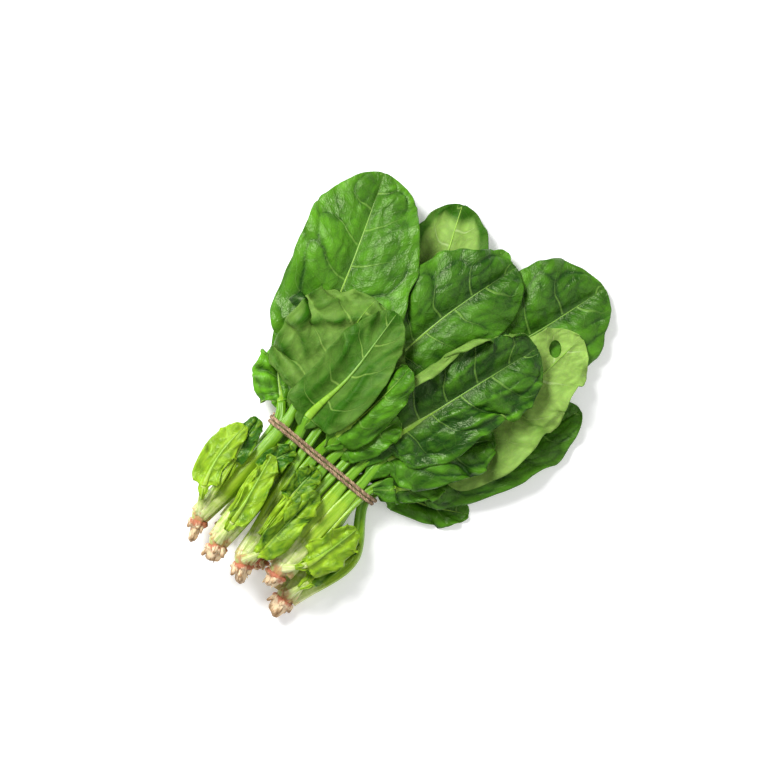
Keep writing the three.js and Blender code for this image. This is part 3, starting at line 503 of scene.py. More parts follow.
# What the blades of the solid bunch don't have
FINE_ONLY = ("base_curve", "tip_curve", "reach", "wing", "calm_tip")


def blade_lifts(lf):
    """How far each mesh point of the solid blade was lifted when the leaf was laid down."""
    lf = {key: value for key, value in lf.items() if key not in FINE_ONLY}
    count, shares, rolled = lf["parts"]
    q = row_shares(count)
    signs = np.array([*[-1] * len(shares), 0, *[1] * len(shares)])
    spread = np.array([*shares[::-1], 0, *shares])
    side, row = np.meshgrid(signs, q)
    rib, half = half_widths(lf, side, row)
    out = np.where(side == 0, 0, rib + (half - rib) * spread)
    flat = blade_points(lf, row, side, out)
    middle = len(shares)
    rested = Rested("plant_" + lf["name"])
    high = rib_height(lf, q)
    lifts = np.full(side.shape, np.nan)
    order = [middle]
    for k in range(1, middle + 1):
        order += [middle - k, middle + k]
    for i in range(count):
        inner_row = i + (1 if i < count / 2 else -1)
        for j in order:
            inner = middle if j == middle else j + (1 if j < middle else -1)
            inset = 0.06 if i in (0, count - 1) or j in (0, 2 * middle) else 0.0
            spot = lerp(flat[i, j], flat[inner_row, inner], inset)
            guess = lifts[i, inner] if j != middle else lifts[i - 1, j] if i else 0.0
            thick = 2 * high[i] if j == middle else SHEET
            share = SHEET / 2 / thick
            if lf["face"] == "back":
                share = 1 - share
            z = rested.near(spot[0], spot[1], spot[2] + (0 if np.isnan(guess) else guess), share)
            if z is not None:
                lifts[i, j] = z - spot[2]
        if rolled:
            lifts[i, -rolled:] = lifts[i, -rolled - 1]
    for _ in range(count * 2):
        if not np.isnan(lifts).any():
            break
        near = beside(lifts, constant_values=np.nan)
        known = ~np.isnan(near)
        mean = np.where(known, near, 0).sum(0) / np.maximum(known.sum(0), 1)
        lifts = np.where(np.isnan(lifts) & known.any(0), mean, lifts)
    return q, np.where(side == 0, 0, side * out), lifts


def smoothed(grid, times):
    """A grid of numbers with each one eased towards its neighbours; the border is kept straight."""
    for _ in range(times):
        grid = (beside(grid, mode="reflect", reflect_type="odd").sum(0) + 2 * grid) / 6
    return grid


class Pile:
    """The highest surface so far over each square millimetre of the table."""

    LOW = np.array([-130, -150])
    SQUARES = (380, 290)

    def __init__(self):
        self.top = np.zeros(self.SQUARES)

    def squares(self, points):
        at = np.floor(points[..., :2]).astype(int) - self.LOW
        return tuple(np.clip(at[..., k], 1, self.SQUARES[k] - 2) for k in (0, 1))

    def under(self, points):
        wide = np.maximum.reduce(
            [np.roll(self.top, (i, j), (0, 1)) for i in (-1, 0, 1) for j in (-1, 0, 1)]
        )
        return wide[self.squares(points)]

    def add(self, grid):
        """Adds a grid of points, with the squares between them."""
        for a in (0, 0.25, 0.5, 0.75):
            for b in (0, 0.25, 0.5, 0.75):
                one = lerp(grid[:-1], grid[1:], a)
                points = lerp(one[:, :-1], one[:, 1:], b)
                i, j = self.squares(points)
                np.maximum.at(self.top, (i, j), points[..., 2])


def noise(place, size, seed):
    """Smooth noise from -1 to 1 over 2-D places in millimetres, with bumps about `size` wide."""
    rng = np.random.default_rng(seed)
    table = rng.uniform(-1, 1, (64, 64))
    at = np.asarray(place)[..., :2] / size
    cell = np.floor(at).astype(int)
    t = at - cell
    t = t * t * (3 - 2 * t)
    i, j = cell[..., 0] % 64, cell[..., 1] % 64
    a = lerp(table[i, j], table[(i + 1) % 64, j], t[..., 0])
    b = lerp(table[i, (j + 1) % 64], table[(i + 1) % 64, (j + 1) % 64], t[..., 0])
    return lerp(a, b, t[..., 1])


def cells(place, size, seed):
    """How far each 2-D place lies inside its irregular cell: 0 on a border, towards 1 inside."""
    rng = np.random.default_rng(seed)
    jitter = rng.uniform(0.12, 0.88, (64, 64, 2))
    at = np.asarray(place)[..., :2] / size
    cell = np.floor(at).astype(int)
    found = []
    for i in (-1, 0, 1):
        for j in (-1, 0, 1):
            other = cell + (i, j)
            core = other + jitter[other[..., 0] % 64, other[..., 1] % 64]
            found.append(np.linalg.norm(at - core, axis=-1))
    nearest = np.sort(np.stack(found), axis=0)
    return np.clip((nearest[1] - nearest[0]) / 0.75, 0, 1)


def finer(sizes, lf):
    """How many rows and columns a blade's fine sheet has."""
    hidden = lf["parts"] is UNDER
    step = sizes.blade_step / MM * (1.7 if hidden else 1)
    rows = int(np.clip(blade_length(lf) / step, 26, 120))
    columns = 2 * int(np.clip(sum(lf["half"]) / step / 2, 10, 44)) + 1
    return rows, columns


def facing_up(points):
    """Normals of a grid, turned so that most look up."""
    up = unit(np.cross(np.gradient(points, axis=0), np.gradient(points, axis=1)))
    return up * np.sign(up[..., 2].mean() or 1)


def relief(sizes, lf, row, side, spread, place):
    """Heights of the blade's face over its plain sheet: puffs, creases, dents and ruffles."""
    seed = seed_of(lf["name"])
    length = blade_length(lf)
    young = not lf["slot"]
    back = lf["face"] == "back"
    crumple = lf.get("crumple", 1.0) * (1.5 if young else 1.0)
    number = max(3.0, length / (sizes.vein_gap / MM))
    wander = 0.25 * noise(place, 26, seed) + 0.06 * noise(place, 8, seed + 9)
    forward = 0.3 * spread + 1.5 * np.maximum(0, spread - 0.6) ** 2
    row = np.maximum(row, 0)
    line = number * row**0.85 - forward + np.where(side > 0, 0.42, 0.0)
    line = line + wander * smoothstep(0.03, 0.4, spread)
    between = line - np.floor(line)
    arch = np.abs(np.sin(np.pi * between))
    loop = 0.66 + 0.16 * arch + 0.05 * noise(place, 17, seed + 11)
    inner = np.clip(spread / loop, 0, 1)
    dome = np.where(spread < loop, np.sin(np.pi * inner**1.3), 0) ** 0.5 * arch**0.5
    outer = np.clip((spread - loop) / np.maximum(1 - loop, 0.05), 0, 1)
    next_arch = np.abs(np.sin(np.pi * (line + 0.5)))
    margin = 0.55 * np.sin(np.pi * np.minimum(outer * 0.8, 1)) ** 0.6 * next_arch**0.4
    dome = np.where(spread < loop, dome, margin)
    ends = smoothstep(0, 0.12, row) * (1 - 0.7 * smoothstep(0.85, 1, row))
    uneven = 0.75 + 0.5 * noise(place, 23, seed + 1)
    breadth = min(1.0, sum(lf["half"]) / 60)
    height = sizes.puff / MM * breadth**1.3 * uneven * dome * ends * (0.6 if back else 1.0)
    meshed = np.stack([line * 17.0, place[..., 0]], -1) + 2.2 * noise(place, 9, seed + 6)[..., None]
    plain = 0.5 if back and not young else 1.0
    fine = sizes.blister / MM * crumple * smoothstep(0.04, 0.22, spread) * plain
    small = 0.42 if young else 1.0
    height += fine * cells(meshed, 12.5 * small, seed + 2) ** 0.5
    height += 0.25 * fine * cells(meshed, 5.0 * small, seed + 3) ** 0.7
    dents = noise(place, 33, seed + 4) + 0.4 * noise(place, 15, seed + 5)
    if young:
        dents = 0.5 * dents + 0.7 * noise(place, 8, seed + 12)
    height += sizes.dent / MM * crumple * dents * smoothstep(0.06, 0.45, spread)
    rim = np.stack([place[..., 1] + 40 * side, 0.35 * place[..., 0]], -1)
    ruffle = noise(rim, 17, seed + 7) + (0.8 if crumple > 1 else 0.25) * noise(rim, 7, seed + 8)
    if young:
        ruffle = 0.4 * ruffle + 0.7 * noise(rim, 7.5, seed + 13)
    ruffle = ruffle * smoothstep(0.55, 1, spread) * smoothstep(0.02, 0.15, row)
    ruffle = ruffle * (1 - smoothstep(0.72, 0.95, row))
    height += sizes.ruffle / MM * crumple * ruffle
    for fold in (*FOLDS.get(lf["name"], ()), *chance_folds(lf, int(5 * (crumple - 1)))):
        height += facing(lf) * fold_height(place, *fold)
    groove = np.exp(-((place[..., 0] / 6) ** 2)) * smoothstep(0, 0.1, row)
    groove = groove * (1 - smoothstep(0.8, 1, row))
    height = height - (0.4 if back else 1.3) * groove
    return line, height * (1 - 0.85 * smoothstep(0.9, 0.99, row))


def chance_folds(lf, count):
    """A few more folds for a crumpled blade, up or down."""
    rng = np.random.default_rng(seed_of(lf["name"]) + 40)
    right, left = lf["half"]
    length = blade_length(lf)
    for _ in range(count):
        at = rng.uniform((-0.8 * right, 0.15 * length), (0.8 * left, 0.9 * length))
        turn = rng.uniform(-0.9, 0.9) + (math.pi if at[0] < 0 else 0)
        run = rng.uniform(18, 34) * np.array([math.cos(turn), math.sin(turn) + 0.5])
        high = rng.choice((-1, 1)) * rng.uniform(1.2, 2.2)
        yield (*at, *(at + run), high, rng.uniform(2, 4))


def fold_height(place, x0, y0, x1, y1, high, wide, soft=0):
    run = np.array([x1 - x0, y1 - y0])
    off = place - np.array([x0, y0])
    t = np.clip((off @ run) / (run @ run), 0, 1)
    far = np.linalg.norm(off - t[..., None] * run, axis=-1)
    if soft:
        soft_side = off @ np.array([-run[1], run[0]]) * np.sign(soft) > 0
        far = far / np.where(soft_side, abs(soft), 1)
    along = 0.25 + 0.75 * np.sin(np.pi * (0.1 + 0.8 * t))
    return high * np.exp(-((far / wide) ** 1.3)) * along


def fine_blade(sizes, lf, pile):
    """The fine sheet of a blade, at rest, with its puffs and veins."""
    rows, columns = finer(sizes, lf)
    length = blade_length(lf)
    q = row_shares(rows)
    if "wing" in lf:
        before = np.arange(-lf["wing_long"], -0.1, WING_STEP) / length
        q = np.concatenate([before, q])
        rows = len(q)
    v = np.linspace(-1, 1, columns)
    side = np.sign(v)[None, :] * np.ones((rows, 1))
    row = q[:, None] * np.ones((1, columns))
    rib, half = half_widths(lf, side, row)
    seed = seed_of(lf["name"])
    edge = np.stack([row * length + 60 * side, 0 * row], -1)
    ragged = lf.get("ragged", 1.0 if lf["slot"] else 0.6)
    jag = ragged * (0.05 * noise(edge, 15, seed + 20) + 0.015 * noise(edge, 5, seed + 21))
    half = half * (1 + jag * np.abs(v) ** 2 * (1 - smoothstep(0.7, 0.95, row)))
    out = half * np.abs(v)
    points = blade_points(lf, row, side, out)
    coarse_q, coarse_out, lifts = blade_lifts(lf)
    at_rows, out_rows = (
        np.stack([np.interp(q, coarse_q, column) for column in grid.T], 1)
        for grid in (lifts, coarse_out)
    )
    lift = np.stack([np.interp(side[i] * out[i], out_rows[i], at_rows[i]) for i in range(rows)])
    points[..., 2] += smoothed(lift, 6)

    place = np.stack([side * out, row * length], -1)
    spread = np.abs(v)[None, :] * np.ones((rows, 1))
    line, height = relief(sizes, lf, row, side, spread, place)
    # Height over the smoothed sheet: the finish paints shade into the creases and light onto the
    # puffs from it
    painted_relief_shade = height - smoothed(height, 10)
    points = points + facing_up(points) * (facing(lf) * height)[..., None]

    thick = sizes.blade_thick / MM
    need = pile.under(points) + thick / 2 + LAID_GAP - points[..., 2]
    if lf.get("roll"):
        need[:, int(0.84 * columns):] = -9
    rise = np.maximum(need, 0)
    for _ in range(30):
        near = beside(rise, mode="edge").sum(0) / 4
        rise = np.maximum(np.maximum(need, near * 0.985), 0)
    points[..., 2] += rise
    up = facing_up(points)
    upper = points + up * thick / 2
    pile.add(upper)
    return {
        "upper": upper,
        "under": points - up * thick / 2,
        "middle": points,
        "up": up,
        "row": row,
        "spread": side * spread,
        "line": line,
        "place": place,
        "painted_relief_shade": painted_relief_shade,
        "first": int((q < 0).sum()),
    }


def stalk_line(lf, blade):
    """The middle line of a stalk at rest, from its crown to its blade."""
    count = max(16, int(lf["base_at"] / STALK_STEP))
    distance = np.linspace(0, lf["base_at"], count)
    line, _ = lf["route"].at(distance)
    lift = np.zeros(count)
    rested = Rested(f"plant_{lf['plant']}_stalks")
    now = 0.0
    for k in range(count):
        if distance[k] <= lf["held_to"]:
            continue
        if distance[k] < lf["base_at"] - 1:
            z = rested.near(line[k, 0], line[k, 1], line[k, 2] + now)
            if z is not None and abs(z - line[k, 2] - now) < 4:
                now = z - line[k, 2]
        lift[k] = now
    for _ in range(4):
        lift[1:-1] = (lift[:-2] + 2 * lift[1:-1] + lift[2:]) / 4
    line[:, 2] += lift
    first = blade["first"]
    up = blade["up"][first, blade["up"].shape[1] // 2]
    off = blade["rib"][first] + facing(lf) * RIB_PROUD * up - line[-1]
    ramp = smoothstep(lf["base_at"] - STALK_JOIN, lf["base_at"], distance)
    return distance, line + ramp[:, None] * off


def ring(centre, left, over, wide, high, sides, groove, ridges, phase):
    """A ring of points round a stalk, with a channel on one side and fine ridges."""
    angle = TURN * np.arange(sides) / sides
    c, s = np.cos(angle), np.sin(angle)
    grain = 1 + ridges * np.cos(7 * angle + phase) + 0.5 * ridges * np.cos(12 * angle - phase)
    x = wide * np.sign(c) * np.abs(c) ** 0.85 * grain
    y = high * np.sign(s) * np.abs(s) ** 0.9 * grain
    y = y - groove * high * np.exp(-((c / 0.4) ** 2)) * (s > 0)
    return centre + left * x[:, None] + over * y[:, None]


def rib_line(lf, blade):
    """The middle of the midrib under the sheet, row by row."""
    middle = blade["middle"].shape[1] // 2
    sink = np.maximum(rib_height(lf, blade["row"][:, middle]) - SHEET / 2, 0)
    return blade["middle"][:, middle] - facing(lf) * sink[:, None] * blade["up"][:, middle]


# Mesh pieces


class Build:
    """Collects points, faces and what the finish reads at each point."""

    def __init__(self, **layers):
        self.points = []
        self.faces = []
        self.slots = []
        self.layers = {name: [] for name in layers}
        self.kinds = layers
        self.count = 0

    def add(self, points, faces, slot=0, **values):
        points = np.asarray(points, float).reshape(-1, 3)
        self.points.append(points)
        self.faces += [[k + self.count for k in face] for face in faces]
        self.slots += [slot] * len(faces)
        for name, kind in self.kinds.items():
            width = 3 if kind == "FLOAT_VECTOR" else 1
            value = np.asarray(values.get(name, 0.0), float)
            full = np.broadcast_to(value.reshape(-1, width) if value.size > width else value,
                                   (len(points), width))
            self.layers[name].append(full)
        self.count += len(points)

    def piece(self, name, materials):
        mesh = bpy.data.meshes.new(name)
        points = (np.vstack(self.points) + TWINE_MIDDLE) * MM
        points[:, 2] = np.maximum(points[:, 2], 0)
        mesh.from_pydata(points.tolist(), [], self.faces)
        for layer, kind in self.kinds.items():
            data = np.vstack(self.layers[layer]).astype(np.float32)
            attribute = mesh.attributes.new(layer, kind, "POINT")
            field = "vector" if kind == "FLOAT_VECTOR" else "value"
            attribute.data.foreach_set(field, data.ravel())
        for material in materials:
            mesh.materials.append(material)
        mesh.polygons.foreach_set("material_index", self.slots)
        mesh.polygons.foreach_set("use_smooth", [True] * len(self.faces))
        mesh.update()
        made = bpy.data.objects.new(name, mesh)
        bpy.context.scene.collection.objects.link(made)
        return made


def grid_faces(rows, columns, start=0, flip=False):
    faces = []
    for i in range(rows - 1):
        for j in range(columns - 1):
            a = start + i * columns + j
            face = [a, a + columns, a + columns + 1, a + 1]
            faces.append(face[::-1] if flip else face)
    return faces


def tube_faces(rings, sides, closed=True):
    faces = []
    for i in range(rings - 1):
        for j in range(sides):
            a, b = i * sides + j, i * sides + (j + 1) % sides
            faces.append([a, b, b + sides, a + sides])
    if closed:
        faces.append(list(range(sides))[::-1])
        last = (rings - 1) * sides
        faces.append([last + j for j in range(sides)])
    return faces


def settle_on(made, *nodes, slot):
    """A finished piece rides with the bunch and stands for its solids."""
    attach(made, "root")
    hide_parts(*nodes)
    return made


# On a blade's sheet the last layer carries painted shade for its creases and painted light for its
# puffs; on its midrib it holds how pale the midrib is
BLADE_LAYERS = {
    "blade_line": "FLOAT_VECTOR",
    "blade_place": "FLOAT_VECTOR",
    "blade_tone": "FLOAT",
    "blade_dip": "FLOAT",
}


def blade_piece(sizes, lf, blade, looks):
    """One blade: a closed sheet with its midrib, and holes where something ate it."""
    rows, columns = blade["row"].shape
    line = np.stack([blade["line"], blade["spread"], blade["row"]], -1)
    seed = seed_of(lf["name"]) % 50
    place = np.concatenate([blade["place"], np.full((rows, columns, 1), 7.0 * seed)], -1)
    build = Build(**BLADE_LAYERS)
    tip = lf.get("tone_tip", lf["tone"])
    out = np.abs(blade["spread"])
    rim = np.maximum(smoothstep(0.6, 0.95, out), smoothstep(0.82, 0.97, blade["row"]))
    tone = lerp(lf["tone"], tip, blade["row"]) + lf.get("tone_rim", 0.0) * rim
    if not lf["slot"]:
        tone = tone + 0.7 * (1 - smoothstep(-0.05, 0.12, blade["row"]))
    tone = np.clip(tone, 0, 1)
    values = dict(blade_line=line, blade_place=place, blade_tone=tone, blade_dip=blade["painted_relief_shade"])
    build_sheet(build, lf, blade, values)
    rib = rib_rings(lf, blade)
    middle = columns // 2
    sides = rib.shape[1]
    part = slice(blade["first"], blade["first"] + len(rib))
    rib_layer = np.repeat(line[part, middle], sides, axis=0)
    rib_place = np.repeat(place[part, middle], sides, axis=0)
    pale = 0 if lf["slot"] else 1 - smoothstep(0, 0.5, rib_layer[:, 2])
    build.add(
        rib, tube_faces(len(rib), sides), slot=2,
        blade_line=rib_layer, blade_place=rib_place, blade_tone=lf["tone"], blade_dip=pale,
    )
    made = build.piece("blade_" + lf["name"], looks)
    slot = "leaf_upper" if lf["face"] == "top" else "leaf_underside"
    return settle_on(made, "plant_" + lf["name"], slot=slot)


def build_sheet(build, lf, blade, values):
    """The two skins of a blade, joined by a rim round its edge and its holes."""
    rows, columns = blade["row"].shape
    top = 0 if lf["face"] == "top" else 1
    upper, under = blade["upper"].copy(), blade["under"].copy()
    faces = grid_faces(rows, columns, flip=True)
    for x, y, narrow, long in HOLES.get(lf["name"], []):
        off = blade["middle"][..., :2] - np.array([x, y])
        stretch = off @ HOLE_LONG_WAY
        across_way = off @ np.array([-HOLE_LONG_WAY[1], HOLE_LONG_WAY[0]])
        far = np.hypot(stretch / long, across_way / narrow)
        inside = far < 1
        flags = inside.ravel()
        faces = [face for face in faces if not all(flags[n] for n in face)]
        # The points left inside are drawn out to the hole's oval edge
        push = np.where(inside, 1 / np.maximum(far, 0.1), 1.0)[..., None]
        shift = (off * push - off)
        upper[..., :2] += shift
        under[..., :2] += shift
    build.add(upper, faces, slot=top, **values)
    if top == 0:
        values = {**values, "blade_tone": np.maximum(values["blade_tone"], 0.4)}
    build.add(under, [face[::-1] for face in faces], slot=1 - top, **values)
    # The rim joins the two skins wherever a face has no neighbour
    edges = dict.fromkeys(pair for face in faces for pair in zip(face, face[1:] + face[:1]))
    count = rows * columns
    start = build.count - 2 * count
    rim = [
        [start + b, start + a, start + count + a, start + count + b]
        for a, b in edges
        if (b, a) not in edges
    ]
    build.faces += rim
    build.slots += [1] * len(rim)


def rib_rings(lf, blade):
    """The midrib: it stands proud below the blade, and shows as a fine ridge on its face."""
    part = slice(blade["first"], int(len(blade["rib"]) * 0.97))
    q = blade["row"][part, 0]
    wide, _ = half_widths(lf, np.ones(len(q)), q)
    high = rib_height(lf, q)
    line = blade["rib"][part]
    tangent = unit(np.gradient(line, axis=0))
    over = blade["up"][part, blade["row"].shape[1] // 2]
    left = unit(np.cross(over, tangent))
    over = np.cross(tangent, left)
    top = lf["face"] == "top"
    runout = max(0.15, RIB_RUNOUT / blade_length(lf))
    slimmer = smoothstep(0, max(0.45, 1.5 * runout), q)
    narrow = wide * lerp(1.0, 0.5 if top else 0.6, slimmer) * lerp(1, 0.5, q)
    face = facing(lf)
    high = high * lerp(1.0, 0.7, q)
    proud = lerp(RIB_PROUD, 0.32 if top else 0.15, smoothstep(0, runout, q))
    proud = proud * (1 - smoothstep(0.6, 0.95, q))
    centre = line + over * (face * proud)[:, None]
    return above_table([
        ring(centre[k], left[k], over[k] * face, narrow[k], high[k],
             RIB_SIDES, 0.0, 0.02, lf["phase"])
        for k in range(len(q))
    ])


STALK_LAYERS = {"stalk_place": "FLOAT_VECTOR", "stalk_tone": "FLOAT"}


def stalk_rings(lf, blade):
    """A stalk's rings, and how far each lies from the crown. A bare stalk has no blade."""
    if blade is None:
        distance = np.linspace(0, lf["base_at"], 46)
        line, _ = lf["route"].at(distance)
    else:
        distance, line = stalk_line(lf, blade)
    tangent = unit(np.gradient(line, axis=0))
    left = unit(np.cross(UP, tangent))
    over = np.cross(tangent, left)
    wide, high = stalk_size(lf, distance)
    face = facing(lf)
    phase = TURN * lf["phase"]
    calm = 1 - smoothstep(-12, 0, distance - distance[-1])
    swell = 1 + 0.05 * np.sin(distance / 9 + phase) * calm
    groove = 0.3 * smoothstep(0, 25, distance) * calm
    return distance, above_table([
        ring(line[k], left[k], over[k] * face, wide[k] * 0.98 * swell[k], high[k] * 1.04,
             STALK_SIDES, groove[k], 0.04, phase)
        for k in range(len(line))
    ])


def stalk_piece(letter, blades, looks):
    """All the stalks of one plant, with the crown that they grow from."""
    build = Build(**STALK_LAYERS)
    own = {**LEAVES, **{name: bare_stalk(name) for name in BARE_STALKS}}
    for name, lf in own.items():
        if lf["plant"] != letter:
            continue
        distance, rings = stalk_rings(lf, blades.get(name))
        sides = rings.shape[1]
        angle = np.tile(np.arange(sides) / sides, len(rings))
        place = np.stack(
            [
                np.cos(TURN * angle) * 3 + 9 * lf["phase"],
                np.sin(TURN * angle) * 3,
                np.repeat(distance, sides),
            ],
            -1,
        )
        build.add(rings, tube_faces(len(rings), sides), stalk_place=place, stalk_tone=lf["tone"])
    add_crown(build, letter)
    made = build.piece("stalks_" + letter, looks)
    return settle_on(made, f"plant_{letter}_stalks", slot="stalk")


def axes_along(aim):
    aim = unit(np.array(aim, float))
    left = unit(np.cross(UP, aim))
    return aim, left, np.cross(aim, left)


def add_crown(build, letter):
    """The bulging neck in which the stalks of a plant meet."""
    at, aim, size = PLANTS[letter]
    aim, left, over = axes_along(aim)
    rings = []
    sides = 30
    angle = TURN * np.arange(sides) / sides
    stations = np.linspace(-6, 4, 12)
    for s in stations:
        t = (s + 6) / 10
        radius = 5.5 * size * (0.6 + 0.4 * math.sin(math.pi * min(1, 0.1 + 0.8 * t)))
        lumps = 1 + 0.1 * np.cos(5 * angle + t) + 0.06 * np.cos(9 * angle - 2)
        rings.append(round_about(np.array(at) + aim * s, left, over, radius * lumps, angle))
    rings = above_table(rings, 0.05)
    place = np.stack(
        [np.cos(np.tile(angle, 12)) * 5, np.sin(np.tile(angle, 12)) * 5,
         np.repeat(-2 - stations, sides)], -1,
    )
    build.add(rings, tube_faces(12, sides), stalk_place=place, stalk_tone=0.5)


# How wide and long each root's stub is beside a full one, and how red it is
STUBS = {
    "a": (0.72, 1.35, 0.0),
    "b": (1.08, 0.85, 0.0),
    "c": (0.8, 1.05, 0.0),
    "d": (0.9, 0.8, -0.1),
    "e": (1.0, 0.85, 0.0),
    "f": (1.05, 0.85, -0.45),
    "g": (0.9, 1.0, -0.1),
}

# Radius of a root's stub at shares of its length
ROOT_LONG = 11.4
ROOT_AT = (0, 0.06, 0.18, 0.3, 0.42, 0.6, 0.8, 0.93, 0.99, 1)
ROOT_RADII = (5.4, 6.0, 6.3, 5.7, 4.6, 4.3, 3.9, 3.3, 2.5, 1.3)


def root_piece(letter, looks):
    """A trimmed root: a knobbly stub, stumps of old stalks and a few rootlets."""
    build = Build(root_place="FLOAT_VECTOR")
    rng = np.random.default_rng(seed_of("root" + letter))
    at, aim, size = PLANTS[letter]
    aim, left, over = axes_along(aim)
    foot = np.array(at) + aim * 2.6
    narrow_stub, long_stub, redder = STUBS[letter]

    def add_rings(rings, shares):
        """Adds a tube. shares: 0 at its pink end, 1 at its dry one."""
        rings = above_table(rings)
        local = (rings.reshape(-1, 3) - foot) @ np.stack([left, over, aim], 1)
        tag = redder + np.repeat(shares, rings.shape[1])
        place = np.concatenate([local[:, :2], tag[:, None]], 1)
        build.add(rings, tube_faces(*rings.shape[:2]), root_place=place)

    def lump(start, direction, length, wide, narrow, rough, count=9, around=12):
        """Adds a stump or a rootlet, thinner towards its end."""
        a, l, o = axes_along(direction)
        turn = TURN * np.arange(around) / around
        rings = []
        for k in range(count):
            t = k / (count - 1)
            radius = lerp(wide, narrow, t**1.3) * (1 - 0.25 * (t > 0.93))
            wobble = 1 + rough * (
                np.cos(3 * turn + 5 * t + start[1]) + 0.7 * np.cos(5 * turn - 4 * t + start[0])
                + 0.8 * rng.uniform(-1, 1, around)
            )
            rings.append(round_about(start + a * (length * t), l, o, radius * wobble, turn))
        add_rings(rings, lerp(rng.uniform(0, 0.5), 1, np.arange(count) / (count - 1)))

    turn = TURN * np.arange(44) / 44
    shares = np.linspace(0, 1, 22)
    radii = np.interp(shares, ROOT_AT, ROOT_RADII) * size
    radii = radii * lerp(1, narrow_stub, smoothstep(0.15, 0.4, shares))
    lean = rng.uniform(-0.5, 0.5, 2)
    rings = []
    for t, radius in zip(shares, radii):
        lobes = 1 + 0.10 * np.cos(3 * turn + lean[0] * 6 + t) + 0.07 * np.cos(5 * turn - 3 * t)
        lobes = lobes + 0.035 * np.cos(11 * turn + 5 * t) + 0.05 * rng.uniform(-1, 1, 44)
        out = radius * lobes
        slant = (2.2 * size * t**3) * (lean[0] * np.cos(turn) + lean[1] * np.sin(turn))
        core = foot + aim * (ROOT_LONG * long_stub * size * t) + aim * slant[:, None]
        rings.append(round_about(core, left, over, out, turn))
    add_rings(rings, shares)
    for k in range(6):
        turn = TURN * (k + rng.uniform(0, 0.7)) / 6
        off = left * math.cos(turn) + over * math.sin(turn)
        start = foot + off * 4.1 * size + aim * rng.uniform(-0.5, 3.0)
        lump(start, aim + off * rng.uniform(0.1, 0.9), rng.uniform(2.6, 6.4) * size,
             rng.uniform(1.4, 2.4) * size, rng.uniform(0.4, 1.2) * size, 0.16, 7, 12)
    for k in range(7):
        turn = rng.uniform(0, TURN)
        off = left * math.cos(turn) + over * math.sin(turn)
        start = foot + aim * rng.uniform(4, 7) * size + off * rng.uniform(1, 3.5) * size
        lump(start, aim + off * rng.uniform(-0.4, 0.9), rng.uniform(2, 4.2) * size,
             0.6, 0.22, 0.12, 6, 7)
    made = build.piece("root_" + letter, looks)
    return settle_on(made, f"plant_{letter}_root", slot="root_skin")


# Twine


def stalk_sections():
    """Points along the middles of the held stalks, near the twine."""
    sections = []
    held = [lf for lf in LEAVES.values() if lf["slot"]]
    for lf in held + [bare_stalk(name) for name in BARE_STALKS]:
        points, _ = lf["route"].at(lf["tie_at"] + np.arange(-TIE_HELD, TIE_HELD + 0.1, 0.5))
        sections += list(points)
    return np.array(sections)


def hull_point(sections, x, angle, gap):
    """Where the twine's middle lies round the stalks."""
    direction = np.array([math.cos(angle), math.sin(angle)])
    size = np.array([STALK_WIDE["tie"], STALK_HIGH["tie"] * 1.16])
    near = sections[np.abs(sections[:, 0] - x) < TWINE_RADIUS + 1.2][:, 1:]
    best = near[np.argmax(near @ direction)]
    reach = np.linalg.norm(size * direction)
    return best + size**2 * direction / reach + direction * (gap + TWINE_RADIUS)


KNOT_ANGLE = math.radians(-38)
TURN_STEPS = 150
PLIES = 3
TWINE_LOW = 1.3  # least height of the middle of a loop or a tail


def twine_line(sections):
    """The middle of the twine's turns, laid close round the stalks."""
    loop = []
    for n in range(TURN_STEPS * TWINE_TURNS + 1):
        turn = n / TURN_STEPS
        x = TWINE_PITCH * (turn - TWINE_TURNS / 2)
        loop.append([x, *hull_point(sections, x, KNOT_ANGLE + TURN * turn, 0.1)])
    loop = np.array(loop)
    for _ in range(14):
        loop[1:-1] = (loop[:-2] + 2 * loop[1:-1] + loop[2:]) / 4
    return loop


def add_strand(build, line, radius, twist, seed, sides=8):
    """A twisted cord of a few plies, with stray fibres standing off it."""
    rng = np.random.default_rng(seed)
    steps = np.linalg.norm(np.diff(line, axis=0), axis=1)
    reach = np.concatenate([[0], np.cumsum(steps)])
    dense = np.arange(0, reach[-1], 0.45)
    line = np.stack([np.interp(dense, reach, line[:, k]) for k in range(3)], -1)
    tangent = unit(np.gradient(line, axis=0))
    helper = np.array([1.0, 0.13, 0.05])
    left = unit(np.cross(helper, tangent))
    over = np.cross(tangent, left)
    ply = radius * 0.56
    for p in range(PLIES):
        turn = TURN * (dense / twist + p / PLIES)
        shift = radius * 0.5
        centre = line + shift * (np.cos(turn)[:, None] * left + np.sin(turn)[:, None] * over)
        centre = centre + rng.normal(0, 0.04, centre.shape)
        ply_tangent = unit(np.gradient(centre, axis=0))
        ply_left = unit(np.cross(helper, ply_tangent))
        ply_over = np.cross(ply_tangent, ply_left)
        angle = TURN * np.arange(sides) / sides
        size = ply * (1 + 0.1 * rng.normal(0, 1, (len(dense), 1)))
        rough = size * (1 + 0.08 * rng.normal(0, 1, (len(dense), sides)))
        rings = (
            centre[:, None] + ply_left[:, None] * (rough * np.cos(angle))[..., None]
            + ply_over[:, None] * (rough * np.sin(angle))[..., None]
        )
        place = np.stack(
            [np.tile(angle, len(dense)), np.repeat(dense, sides),
             np.full(len(dense) * sides, float(p))], -1,
        )
        build.add(rings, tube_faces(len(rings), sides), twine_place=place)
    for _ in range(int(len(dense) * 0.9)):
        k = rng.integers(1, len(dense) - 1)
        turn = rng.uniform(0, TURN)
        off = math.cos(turn) * left[k] + math.sin(turn) * over[k]
        length = rng.uniform(1.0, 2.6)
        lean = rng.uniform(-1.4, 1.4)
        start = line[k] + off * radius * 0.85
        points = [
            start + off * length * t * 0.35 + tangent[k] * lean * length * t
            + over[k] * 0.4 * length * t * t * rng.uniform(-1, 1)
            for t in (0, 0.35, 0.7, 1)
        ]
        add_fibre(build, np.array(points), 0.05)


